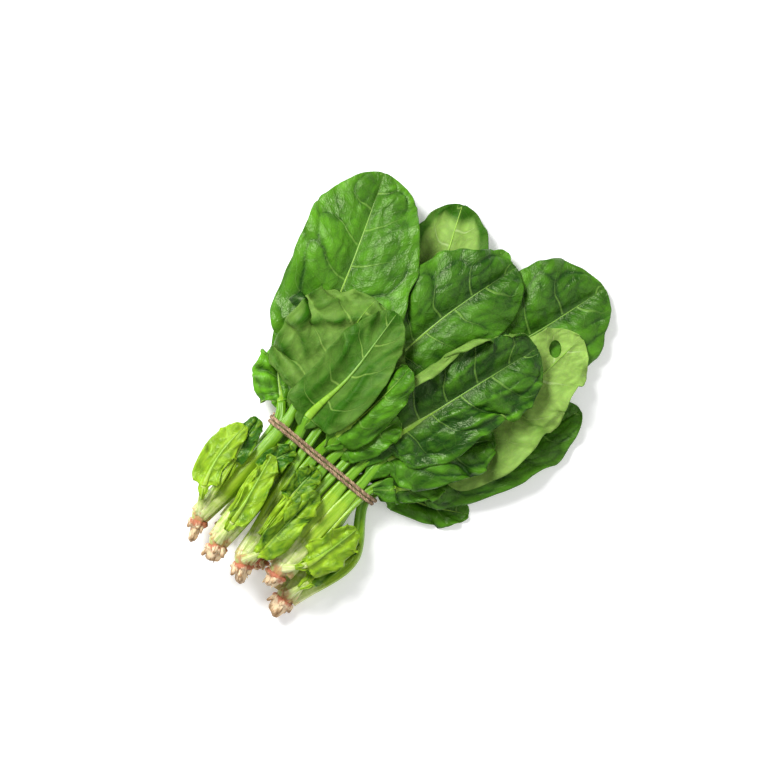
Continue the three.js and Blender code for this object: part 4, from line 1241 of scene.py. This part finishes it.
def add_fibre(build, line, radius):
    """One stray fibre, thinner towards its end."""
    tangent = unit(np.gradient(line, axis=0))
    left = unit(np.cross(tangent, np.array([0.3, 0.5, 0.8])))
    over = np.cross(tangent, left)
    rings = []
    for k, point in enumerate(line):
        size = radius * (1 - 0.25 * k)
        rings.append([
            point + size * (math.cos(a) * left[k] + math.sin(a) * over[k])
            for a in (0, TURN / 3, 2 * TURN / 3)
        ])
    build.add(np.array(rings), tube_faces(len(line), 3), twine_place=(0, line[0, 1], 5))


def twine_piece(sizes, looks):
    """Two turns of jute round the stalks, a knot low on one side and two short tails."""
    build = Build(twine_place="FLOAT_VECTOR")
    sections = stalk_sections()
    twist = sizes.twine_twist / MM
    add_strand(build, twine_line(sections), TWINE_RADIUS * 0.98, twist, 11)
    heart = np.array([0, *hull_point(sections, 0, KNOT_ANGLE, TWINE_GAP)])
    out = np.array([0, math.cos(KNOT_ANGLE), math.sin(KNOT_ANGLE)])
    heart = heart + 1.6 * out
    heart[2] = max(heart[2], 3.3)
    around = np.array([0, -out[2], out[1]])
    for k, (wide, high) in enumerate(((3.1, 1.5), (2.6, 1.9))):
        turn = np.linspace(0, TURN * 0.97, 26)
        off = (k - 0.5) * 1.7
        loop = (
            heart + np.outer(np.cos(turn) * high, out) + np.outer(np.sin(turn) * wide, around)
            + np.outer(np.sin(turn) * 0.8 + off, [1, 0, 0])
        )
        add_strand(build, above_table(loop, TWINE_LOW), TWINE_RADIUS * 0.9, twist, 21 + k)
    for side in (-1, 1):
        t = np.linspace(0, 1, 12)[:, None]
        tail = heart + np.array([side, 0, 0]) * (1 + 8.2 * t)
        tail = tail + np.array([0, 1, 0]) * (1 + 4.2 * t**1.5)
        tail[:, 2] -= 0.6 * t[:, 0]
        add_strand(build, above_table(tail, TWINE_LOW), TWINE_RADIUS * 0.92, twist, 31 + side)
    made = build.piece("twine", looks)
    return settle_on(made, "twine_tie", slot="jute")


# Finishes


class Tree:
    """Adds nodes to a material or a node group, and wires them."""

    def __init__(self, tree):
        self.tree = tree
        self.x = -1600

    def node(self, kind, inputs=(), output=0, **settings):
        made = self.tree.nodes.new(kind)
        made.location = (self.x, -40 * (len(self.tree.nodes) % 12))
        self.x += 40
        for name, value in settings.items():
            setattr(made, name, value)
        for key, value in dict(inputs).items():
            self.feed(made.inputs[key], value)
        return made.outputs[output]

    def feed(self, socket, value):
        if isinstance(value, bpy.types.NodeSocket):
            self.tree.links.new(value, socket)
        else:
            socket.default_value = value

    def math(self, operation, *values, clamp=False):
        inputs = dict(enumerate(values))
        return self.node("ShaderNodeMath", inputs, operation=operation, use_clamp=clamp)

    def times(self, a, b):
        return self.math("MULTIPLY", a, b)

    def plus(self, a, b):
        return self.math("ADD", a, b)

    def times_plus(self, a, b, c, clamp=False):
        return self.math("MULTIPLY_ADD", a, b, c, clamp=clamp)

    def smooth(self, value, low, high, to_low=0.0, to_high=1.0):
        return self.node(
            "ShaderNodeMapRange",
            {
                "Value": value, "From Min": low, "From Max": high,
                "To Min": to_low, "To Max": to_high,
            },
            interpolation_type="SMOOTHSTEP",
        )

    def mix(self, factor, a, b, blend="MIX"):
        made = self.tree.nodes.new("ShaderNodeMix")
        made.data_type = "RGBA"
        made.blend_type = blend
        self.feed(made.inputs["Factor"], factor)
        for key, value in ((6, a), (7, b)):
            is_socket = isinstance(value, bpy.types.NodeSocket)
            self.feed(made.inputs[key], value if is_socket else (*value, 1))
        return made.outputs[2]

    def attribute(self, name, output="Vector"):
        made = self.tree.nodes.new("ShaderNodeAttribute")
        made.attribute_name = name
        return made.outputs[output]

    def parts(self, vector):
        made = self.tree.nodes.new("ShaderNodeSeparateXYZ")
        self.feed(made.inputs[0], vector)
        return made.outputs[0], made.outputs[1], made.outputs[2]

    def noise(self, vector, scale, detail=3.0, rough=0.5):
        return self.node(
            "ShaderNodeTexNoise",
            {"Vector": vector, "Scale": scale, "Detail": detail, "Roughness": rough},
        )


def new_group(name, inputs, outputs):
    group = bpy.data.node_groups.new(name, "ShaderNodeTree")
    for label, kind, value in inputs:
        socket = group.interface.new_socket(label, in_out="INPUT", socket_type=kind)
        if value is not None:
            socket.default_value = value
    for label, kind in outputs:
        group.interface.new_socket(label, in_out="OUTPUT", socket_type=kind)
    tree = Tree(group)
    start = group.nodes.new("NodeGroupInput")
    end = group.nodes.new("NodeGroupOutput")
    return group, tree, start.outputs, end.inputs


def use_group(tree, group, inputs):
    made = tree.tree.nodes.new("ShaderNodeGroup")
    made.node_tree = group
    for key, value in inputs.items():
        tree.feed(made.inputs[key], value)
    return made.outputs


def leaf_veins_group():
    """Side veins that arch from the midrib, and the fine net between them."""
    group, t, start, end = new_group(
        "Leaf veins",
        [("Line", "NodeSocketVector", None), ("Place", "NodeSocketVector", None),
         ("Vein width", "NodeSocketFloat", 0.05), ("Net size", "NodeSocketFloat", 0.2)],
        [(name, "NodeSocketFloat") for name in ("Side veins", "Net", "Puffs")],
    )
    line, spread, row = t.parts(start["Line"])
    out = t.math("ABSOLUTE", spread)
    away = t.math("PINGPONG", line, 0.5)
    width = t.times(start["Vein width"], t.smooth(out, 0.0, 0.95, 1.0, 0.25))
    vein = t.math("SUBTRACT", 1.0, t.smooth(away, t.times(width, 0.25), width))
    fade = t.smooth(out, 0.72, 0.98, 1.0, 0.15)
    t.feed(end["Side veins"], t.times(vein, fade))
    warp = t.node("ShaderNodeTexNoise", {"Vector": start["Place"], "Scale": 0.35}, output=1)
    warped = t.node(
        "ShaderNodeVectorMath", {0: start["Place"], 1: warp},
        operation="ADD",
    )
    net = t.node(
        "ShaderNodeTexVoronoi", {"Vector": warped, "Scale": start["Net size"]},
        feature="DISTANCE_TO_EDGE", voronoi_dimensions="2D",
    )
    fine = t.node(
        "ShaderNodeTexVoronoi", {"Vector": warped, "Scale": t.times(start["Net size"], 3.1)},
        feature="DISTANCE_TO_EDGE", voronoi_dimensions="2D",
    )
    coarse = t.math("SUBTRACT", 1.0, t.smooth(net, 0.0, 0.07))
    small = t.math("SUBTRACT", 1.0, t.smooth(fine, 0.0, 0.12))
    t.feed(end["Net"], t.math("MAXIMUM", coarse, t.times(small, 0.45)))
    dome = t.plus(t.smooth(net, 0.0, 0.4), t.times(t.smooth(fine, 0.0, 0.4), 0.3))
    t.feed(end["Puffs"], dome)
    return group


def mottle_group():
    """Uneven colour at three scales, from 0 to 1."""
    group, t, start, end = new_group(
        "Mottle",
        [("Place", "NodeSocketVector", None), ("Patch size", "NodeSocketFloat", 0.05)],
        [("Mottle", "NodeSocketFloat")],
    )
    large = t.noise(start["Place"], start["Patch size"], 2.0)
    medium = t.noise(start["Place"], t.times(start["Patch size"], 5.0), 3.0)
    both = t.times_plus(large, 0.65, t.times(medium, 0.35))
    t.feed(end["Mottle"], t.smooth(both, 0.3, 0.7))
    return group


def new_material(name):
    made = bpy.data.materials.new(name)
    made.use_nodes = True
    tree = made.node_tree
    shader = next(n for n in tree.nodes if n.type == "BSDF_PRINCIPLED")
    return made, Tree(tree), shader


def bump(tree, height, strength, distance):
    return tree.node(
        "ShaderNodeBump", {"Height": height, "Strength": strength, "Distance": distance}
    )


def blade_material(name, groups, looks, kind, upper, creases):
    """A blade's face: deep and glossy above, pale and dull with raised veins below."""
    made, t, shader = new_material(name)
    deep, fresh, vein = (getattr(looks, f"{kind}_{part}") for part in ("deep", "fresh", "vein"))
    place = t.attribute("blade_place")
    line = t.attribute("blade_line")
    tone = t.attribute("blade_tone", "Fac")
    veins = use_group(t, groups["veins"], {
        "Line": line, "Place": place,
        "Vein width": 0.045 if upper else 0.05, "Net size": 0.16,
    })
    patches = use_group(t, groups["mottle"], {"Place": place, "Patch size": 0.035})["Mottle"]
    _, spread, row = t.parts(line)
    out = t.math("ABSOLUTE", spread)
    painted_relief_shade = t.attribute("blade_dip", "Fac")
    edge = t.smooth(out, 0.6, 1.0, 0.0, 0.16 if upper else 0.08)
    uneven = 0.4 if upper else 0.22
    shade = t.plus(tone, t.times_plus(patches, uneven, -uneven / 2))
    shade = t.plus(shade, edge)
    # Painted shade in the creases and painted light on the puffs, from the relief layer
    shade = t.times_plus(painted_relief_shade, creases, shade, clamp=True)
    colour = t.mix(shade, deep, fresh)
    # Painted shade: darker along the small creases between the puffs, painted light on their tops
    painted_puff_shade = t.mix(t.times(veins["Puffs"], 0.6), [0.82] * 3, [1.1] * 3)
    colour = t.mix(1.0, colour, painted_puff_shade, "MULTIPLY")
    if not upper:
        vein = t.mix(t.smooth(shade, 0.45, 0.9), vein, (0.46, 0.60, 0.26))
    colour = t.mix(t.times(veins["Net"], 0.07), colour, vein)
    near_rib = t.smooth(out, 0.0, 0.16, 0.45, 0.0)
    base = t.smooth(row, 0.0, 0.5, 1.0, 0.1)
    colour = t.mix(t.times(near_rib, base), colour, vein)
    seen = t.smooth(out, 0.1, 0.7, 0.5, 0.12 if upper else 0.25)
    colour = t.mix(t.times(veins["Side veins"], seen), colour, vein)
    t.feed(shader.inputs["Base Color"], colour)
    rough = t.times_plus(patches, 0.16, 0.3 if upper else 0.42)
    t.feed(shader.inputs["Roughness"], rough)
    sign = -1.0 if upper else 1.0
    height = t.times_plus(veins["Side veins"], sign * 0.8, t.times(veins["Puffs"], 0.5))
    height = t.times_plus(veins["Net"], sign * 0.2, height)
    grain = t.noise(place, 2.2, 2.0)
    height = t.times_plus(grain, 0.14, height)
    t.feed(shader.inputs["Normal"], bump(t, height, 0.6, 0.0006))
    shader.inputs["Specular IOR Level"].default_value = 0.3 if upper else 0.14
    shader.inputs["Specular Tint"].default_value = (0.85, 1.0, 0.6, 1)
    shader.inputs["Subsurface Weight"].default_value = 0.08
    shader.inputs["Subsurface Radius"].default_value = (0.3, 1.0, 0.1)
    shader.inputs["Subsurface Scale"].default_value = 0.0012
    return made


def rib_material(looks, groups):
    made, t, shader = new_material("Midrib")
    line = t.attribute("blade_line")
    place = t.attribute("blade_place")
    _, _, row = t.parts(line)
    tone = t.attribute("blade_tone", "Fac")
    greener = t.times(t.smooth(row, 0.0, 0.75), t.smooth(tone, 0.1, 0.7, 1.0, 0.0))
    colour = t.mix(greener, looks.rib_base, looks.rib_tip)
    colour = t.mix(t.attribute("blade_dip", "Fac"), colour, looks.stalk_pale)
    patches = use_group(t, groups["mottle"], {"Place": place, "Patch size": 0.4})["Mottle"]
    colour = t.mix(1.0, colour, t.mix(patches, [0.82] * 3, [1.1] * 3), "MULTIPLY")
    t.feed(shader.inputs["Base Color"], colour)
    shader.inputs["Roughness"].default_value = 0.4
    t.feed(shader.inputs["Normal"], bump(t, t.noise(place, 1.4, 3.0), 0.4, 0.0004))
    shader.inputs["Subsurface Weight"].default_value = 0.15
    shader.inputs["Subsurface Radius"].default_value = (0.5, 1.0, 0.2)
    shader.inputs["Subsurface Scale"].default_value = 0.002
    return made


def stalk_material(looks, groups):
    """Fleshy stalk: white and pink at the crown, then pale and fresh green, streaked along."""
    made, t, shader = new_material("Stalk")
    place = t.attribute("stalk_place")
    x, y, along = t.parts(place)
    stretched = t.node("ShaderNodeCombineXYZ", {0: x, 1: y, 2: t.times(along, 0.06)})
    streaks = t.noise(stretched, 0.9, 4.0, 0.6)
    mottle = use_group(t, groups["mottle"], {"Place": place, "Patch size": 0.09})["Mottle"]
    at = t.plus(along, t.times_plus(mottle, 22.0, -11.0))
    colour = t.mix(t.smooth(at, 3.0, 27.0), looks.stalk_white, looks.stalk_pale)
    colour = t.mix(t.smooth(at, 26.0, 85.0), colour, looks.stalk_green)
    colour = t.mix(t.smooth(at, -9.0, 4.0, 0.8, 0.0), colour, looks.stalk_pink)
    bands = t.mix(t.smooth(streaks, 0.35, 0.65), (0.7, 0.8, 0.5), (1.12, 1.08, 1.16))
    colour = t.mix(1.0, colour, bands, "MULTIPLY")
    t.feed(shader.inputs["Base Color"], colour)
    t.feed(shader.inputs["Roughness"], t.times_plus(mottle, 0.15, 0.3))
    fine = t.noise(stretched, 2.6, 2.0)
    height = t.times_plus(streaks, 0.7, t.times(fine, 0.4))
    t.feed(shader.inputs["Normal"], bump(t, height, 0.6, 0.0007))
    shader.inputs["Specular Tint"].default_value = (0.9, 1.0, 0.7, 1)
    shader.inputs["Coat Weight"].default_value = 0.08
    shader.inputs["Coat Roughness"].default_value = 0.2
    shader.inputs["Subsurface Weight"].default_value = 0.25
    shader.inputs["Subsurface Radius"].default_value = (0.7, 1.0, 0.3)
    shader.inputs["Subsurface Scale"].default_value = 0.003
    return made


def root_material(looks, groups):
    made, t, shader = new_material("Root skin")
    place = t.attribute("root_place")
    patches = use_group(t, groups["mottle"], {"Place": place, "Patch size": 0.16})["Mottle"]
    spots = t.noise(place, 0.7, 4.0, 0.65)
    _, _, share = t.parts(place)
    ring_share = t.plus(share, t.times_plus(patches, 0.5, -0.25))
    colour = t.mix(t.smooth(ring_share, 0.08, 0.34), looks.root_pink, looks.root_cream)
    colour = t.mix(t.smooth(spots, 0.5, 0.68, 0.0, 0.7), colour, looks.root_brown)
    colour = t.mix(t.smooth(ring_share, 0.6, 0.97, 0.0, 0.8), colour, looks.root_brown)
    t.feed(shader.inputs["Base Color"], colour)
    shader.inputs["Roughness"].default_value = 0.6
    t.feed(shader.inputs["Normal"], bump(t, spots, 0.8, 0.0012))
    shader.inputs["Subsurface Weight"].default_value = 0.2
    shader.inputs["Subsurface Radius"].default_value = (1.0, 0.5, 0.3)
    shader.inputs["Subsurface Scale"].default_value = 0.002
    return made


def twine_material(looks, groups):
    made, t, shader = new_material("Jute")
    place = t.attribute("twine_place")
    around, along, ply = t.parts(place)
    skewed = t.node("ShaderNodeCombineXYZ", {
        0: t.plus(t.times(around, 3.0), t.times(ply, 17.0)),
        1: t.times(along, 0.35),
        2: ply,
    })
    fibres = t.noise(skewed, 2.2, 4.0, 0.7)
    colour = t.mix(t.smooth(fibres, 0.32, 0.68), looks.jute_dark, looks.jute_light)
    patches = t.smooth(t.noise(place, 0.33, 2.0), 0.35, 0.65)
    colour = t.mix(1.0, colour, t.mix(patches, (0.55, 0.5, 0.46), [1.35] * 3), "MULTIPLY")
    t.feed(shader.inputs["Base Color"], colour)
    shader.inputs["Roughness"].default_value = 0.9
    t.feed(shader.inputs["Normal"], bump(t, fibres, 0.9, 0.0005))
    return made


def floor_material(looks):
    made, t, shader = new_material("Table")
    grain = t.noise(t.node("ShaderNodeTexCoord", output=3), 6.0, 3.0)
    shade = t.mix(grain, [c * 0.985 for c in looks.table], looks.table)
    t.feed(shader.inputs["Base Color"], shade)
    shader.inputs["Roughness"].default_value = 0.75
    shader.inputs["Emission Color"].default_value = (1, 1, 1, 1)
    shader.inputs["Emission Strength"].default_value = 0.25
    return made


# What a user would change


def colour(name, text, value):
    return bpy.props.FloatVectorProperty(
        name=name, description=text, default=value, size=3, min=0, max=1, subtype="COLOR"
    )


def length(name, text, value):
    return bpy.props.FloatProperty(
        name=name, description=text, default=value, min=0, unit="LENGTH", precision=5
    )


class BunchSizes(bpy.types.PropertyGroup):
    """Sizes of what the fine bunch adds to the solid one."""

    blade_step: length("Blade step", "Distance between the mesh points of a blade", 1.15 * MM)
    blade_thick: length("Blade thickness", "Thickness of a blade between its ribs", 0.5 * MM)
    vein_gap: length("Vein gap", "Distance between the side veins along the midrib", 23 * MM)
    puff: length("Puff height", "How far a blade bulges between its side veins", 2.6 * MM)
    blister: length("Blister height", "How far a blade bulges between its small veins", 0.9 * MM)
    dent: length("Dent depth", "How deep the wide dents of a blade are", 1.6 * MM)
    ruffle: length("Ruffle height", "How far a blade's edge waves up and down", 1.7 * MM)
    twine_twist: length("Twine twist", "Length in which the twine turns round once", 7 * MM)


class BunchColours(bpy.types.PropertyGroup):
    """Colours of the bunch and its table."""

    # The deep colours also carry the painted shade of the creases, and the fresh ones the painted
    # light of the puffs
    upper_deep: colour("Blade, deep", "Face of the darkest blades", (0.009, 0.052, 0.003))
    upper_fresh: colour("Blade, fresh", "Face of the freshest blades", (0.11, 0.34, 0.01))
    upper_vein: colour("Veins", "Veins on a blade's face", (0.2, 0.38, 0.06))
    young_deep: colour("Young blade, deep", "Creases of the inner blades", (0.022, 0.11, 0.003))
    young_fresh: colour("Young blade, fresh", "Puffs of the inner blades", (0.31, 0.51, 0.018))
    young_vein: colour("Young veins", "Veins of the small inner blades", (0.34, 0.52, 0.07))
    under_deep: colour("Underside, deep", "Underside of dark blades", (0.024, 0.105, 0.003))
    under_fresh: colour("Underside, pale", "Underside of pale blades", (0.27, 0.44, 0.085))
    under_vein: colour("Underside veins", "Veins on an underside", (0.27, 0.43, 0.085))
    rib_base: colour("Midrib base", "Midrib where it leaves the stalk", (0.24, 0.46, 0.025))
    rib_tip: colour("Midrib tip", "Midrib near the leaf's tip", (0.14, 0.31, 0.025))
    stalk_white: colour("Stalk, crown", "Stalk where it leaves the crown", (0.6, 0.65, 0.3))
    stalk_pale: colour("Stalk, low", "Stalk a little above the crown", (0.31, 0.48, 0.02))
    stalk_green: colour("Stalk, high", "Stalk near its blade", (0.135, 0.335, 0.008))
    stalk_pink: colour("Stalk, pink", "Blush at the crown", (0.58, 0.24, 0.13))
    root_pink: colour("Root, pink", "Root skin where it is pink", (0.5, 0.16, 0.08))
    root_cream: colour("Root, cream", "Root skin where it is cream", (0.84, 0.64, 0.4))
    root_brown: colour("Root, brown", "Cut and dried places of a root", (0.25, 0.12, 0.03))
    jute_dark: colour("Jute, dark", "Twine between its fibres", (0.115, 0.065, 0.03))
    jute_light: colour("Jute, light", "Fibres of the twine", (0.64, 0.45, 0.28))
    table: colour("Table", "The pale table under the bunch", (0.9, 0.9, 0.9))


class StageSettings(bpy.types.PropertyGroup):
    """Table, camera and lamps."""

    table_size: length("Table size", "Side of the table", 12.0)
    view_height: length("Camera height", "Height of the camera over the table", 4.0)
    view_width: length("View width", "Width of the table that the picture takes in", 0.507)
    key_power: bpy.props.FloatProperty(
        name="Key lamp", description="Power of the large lamp", default=42.0, min=0, unit="POWER"
    )
    sky: bpy.props.FloatProperty(
        name="Sky", description="Strength of the light from all round", default=0.38, min=0
    )


MADE = {}


def sizes():
    return bpy.context.scene.spinach_sizes


def finishes():
    """The materials of the bunch, made once."""
    if "finishes" not in MADE:
        looks = bpy.context.scene.spinach_colours
        groups = {"veins": leaf_veins_group(), "mottle": mottle_group()}
        MADE["finishes"] = {
            # The last number: how strongly shade is painted into the creases and light onto the
            # puffs
            "upper": blade_material("Blade face", groups, looks, "upper", True, 0.5),
            "under": blade_material("Blade underside", groups, looks, "under", False, 0.2),
            "young": blade_material("Young blade", groups, looks, "young", True, 0.42),
            "rib": rib_material(looks, groups),
            "stalk": stalk_material(looks, groups),
            "root": root_material(looks, groups),
            "jute": twine_material(looks, groups),
        }
    return MADE["finishes"]


def lay_leaves():
    """Works out every blade at rest, from the table up."""
    if "blades" in MADE:
        return MADE["blades"]
    pile = Pile()
    blades = {}
    for name, lf in LEAVES.items():
        complete(name, lf)
    bare = [stalk_rings(bare_stalk(name), None)[1] for name in BARE_STALKS]
    for name, lf in LEAVES.items():
        if bare and not lf["slot"]:
            for rings in bare:
                pile.add(rings)
            bare = []
        blade = fine_blade(sizes(), lf, pile)
        blade["rib"] = rib_line(lf, blade)
        blades[name] = blade
        _, rings = stalk_rings(lf, blade)
        pile.add(rings)
    MADE["blades"] = blades
    return blades


class SPINACH_OT_blades(bpy.types.Operator):
    """Grow the leaf blades, laid on each other"""

    bl_idname = "spinach.blades"
    bl_label = "Leaf blades"

    def execute(self, context):
        looks = finishes()
        blades = lay_leaves()
        for name, lf in LEAVES.items():
            faces = ["upper", "under"] if lf["slot"] else ["young", "young"]
            blade_piece(sizes(), lf, blades[name], [looks[key] for key in (*faces, "rib")])
        return {"FINISHED"}


class SPINACH_OT_stalks(bpy.types.Operator):
    """Grow the stalks of each plant, with the crown they share"""

    bl_idname = "spinach.stalks"
    bl_label = "Stalks and crowns"

    def execute(self, context):
        looks = finishes()
        blades = lay_leaves()
        for letter in PLANTS:
            stalk_piece(letter, blades, [looks["stalk"]])
        return {"FINISHED"}


class SPINACH_OT_roots(bpy.types.Operator):
    """Grow the trimmed roots"""

    bl_idname = "spinach.roots"
    bl_label = "Roots"

    def execute(self, context):
        looks = finishes()
        for letter in PLANTS:
            root_piece(letter, [looks["root"]])
        return {"FINISHED"}


class SPINACH_OT_twine(bpy.types.Operator):
    """Wind the jute twine round the stalks"""

    bl_idname = "spinach.twine"
    bl_label = "Twine"

    def execute(self, context):
        lay_leaves()
        twine_piece(sizes(), [finishes()["jute"]])
        return {"FINISHED"}


class SPINACH_OT_stage(bpy.types.Operator):
    """Set the table, the camera over it and the lamps"""

    bl_idname = "spinach.stage"
    bl_label = "Table, camera and lamps"

    def execute(self, context):
        scene = context.scene
        settings = scene.spinach_stage
        half = settings.table_size / 2
        mesh = bpy.data.meshes.new("table")
        mesh.from_pydata(
            [(-half, -half, 0), (half, -half, 0), (half, half, 0), (-half, half, 0)],
            [], [(0, 1, 2, 3)],
        )
        mesh.materials.append(floor_material(scene.spinach_colours))
        table = bpy.data.objects.new("table", mesh)
        table.location.z = -0.0003
        scene.collection.objects.link(table)

        right, up, toward = (Vector(way) for way in PICTURE_WAYS)
        turn = Matrix((right, up, toward)).transposed().to_4x4()
        middle = Vector(TWINE_MIDDLE * MM) + Vector([c * MM for c in PICTURE_MIDDLE])
        camera = bpy.data.objects.new("camera", bpy.data.cameras.new("camera"))
        camera.matrix_world = Matrix.Translation(middle + toward * settings.view_height) @ turn
        camera.data.sensor_width = SENSOR
        camera.data.lens = SENSOR * (settings.view_height - MEAN_HEIGHT) / settings.view_width
        camera.data.clip_end = 50
        scene.collection.objects.link(camera)
        scene.camera = camera

        self.lamp(scene, "key", middle - right * 0.75 + up * 0.85 + toward * 1.25, middle, 0.7,
                  settings.key_power)
        self.lamp(scene, "fill", middle + right * 1.2 - up * 0.3 + toward * 1.3, middle, 1.6,
                  settings.key_power * 0.25)
        world = bpy.data.worlds.new("room")
        world.use_nodes = True
        back = world.node_tree.nodes["Background"]
        back.inputs[0].default_value = (1, 1, 1, 1)
        back.inputs[1].default_value = settings.sky
        scene.world = world
        scene.view_settings.view_transform = "Standard"
        return {"FINISHED"}

    def lamp(self, scene, name, place, aim, size, power):
        light = bpy.data.lights.new(name, "AREA")
        light.size = size
        light.energy = power
        lamp = bpy.data.objects.new(name, light)
        lamp.location = place
        lamp.rotation_euler = (aim - place).to_track_quat("-Z", "Y").to_euler()
        scene.collection.objects.link(lamp)


class SPINACH_PT_panel(bpy.types.Panel):
    """Lists the pieces of the bunch"""

    bl_idname = "SPINACH_PT_panel"
    bl_label = "Spinach bunch"
    bl_space_type = "VIEW_3D"
    bl_region_type = "UI"
    bl_category = "Spinach"

    def draw(self, context):
        layout = self.layout
        scene = context.scene
        for group in (scene.spinach_sizes, scene.spinach_colours, scene.spinach_stage):
            box = layout.box()
            for name in group.__annotations__:
                box.prop(group, name)
        for operator in OPERATORS:
            layout.operator(operator.bl_idname)


OPERATORS = (
    SPINACH_OT_blades,
    SPINACH_OT_stalks,
    SPINACH_OT_roots,
    SPINACH_OT_twine,
    SPINACH_OT_stage,
)
GROUPS = {
    "spinach_sizes": BunchSizes,
    "spinach_colours": BunchColours,
    "spinach_stage": StageSettings,
}


def register():
    for name, group in GROUPS.items():
        bpy.utils.register_class(group)
        setattr(bpy.types.Scene, name, bpy.props.PointerProperty(type=group))
    for each in (*OPERATORS, SPINACH_PT_panel):
        bpy.utils.register_class(each)


def unregister():
    for each in (SPINACH_PT_panel, *reversed(OPERATORS)):
        bpy.utils.unregister_class(each)
    for name, group in reversed(GROUPS.items()):
        delattr(bpy.types.Scene, name)
        bpy.utils.unregister_class(group)


def main():
    register()
    bpy.ops.spinach.blades()
    bpy.ops.spinach.stalks()
    bpy.ops.spinach.roots()
    bpy.ops.spinach.twine()
    bpy.ops.spinach.stage()


if __name__ == "__main__":
    main()
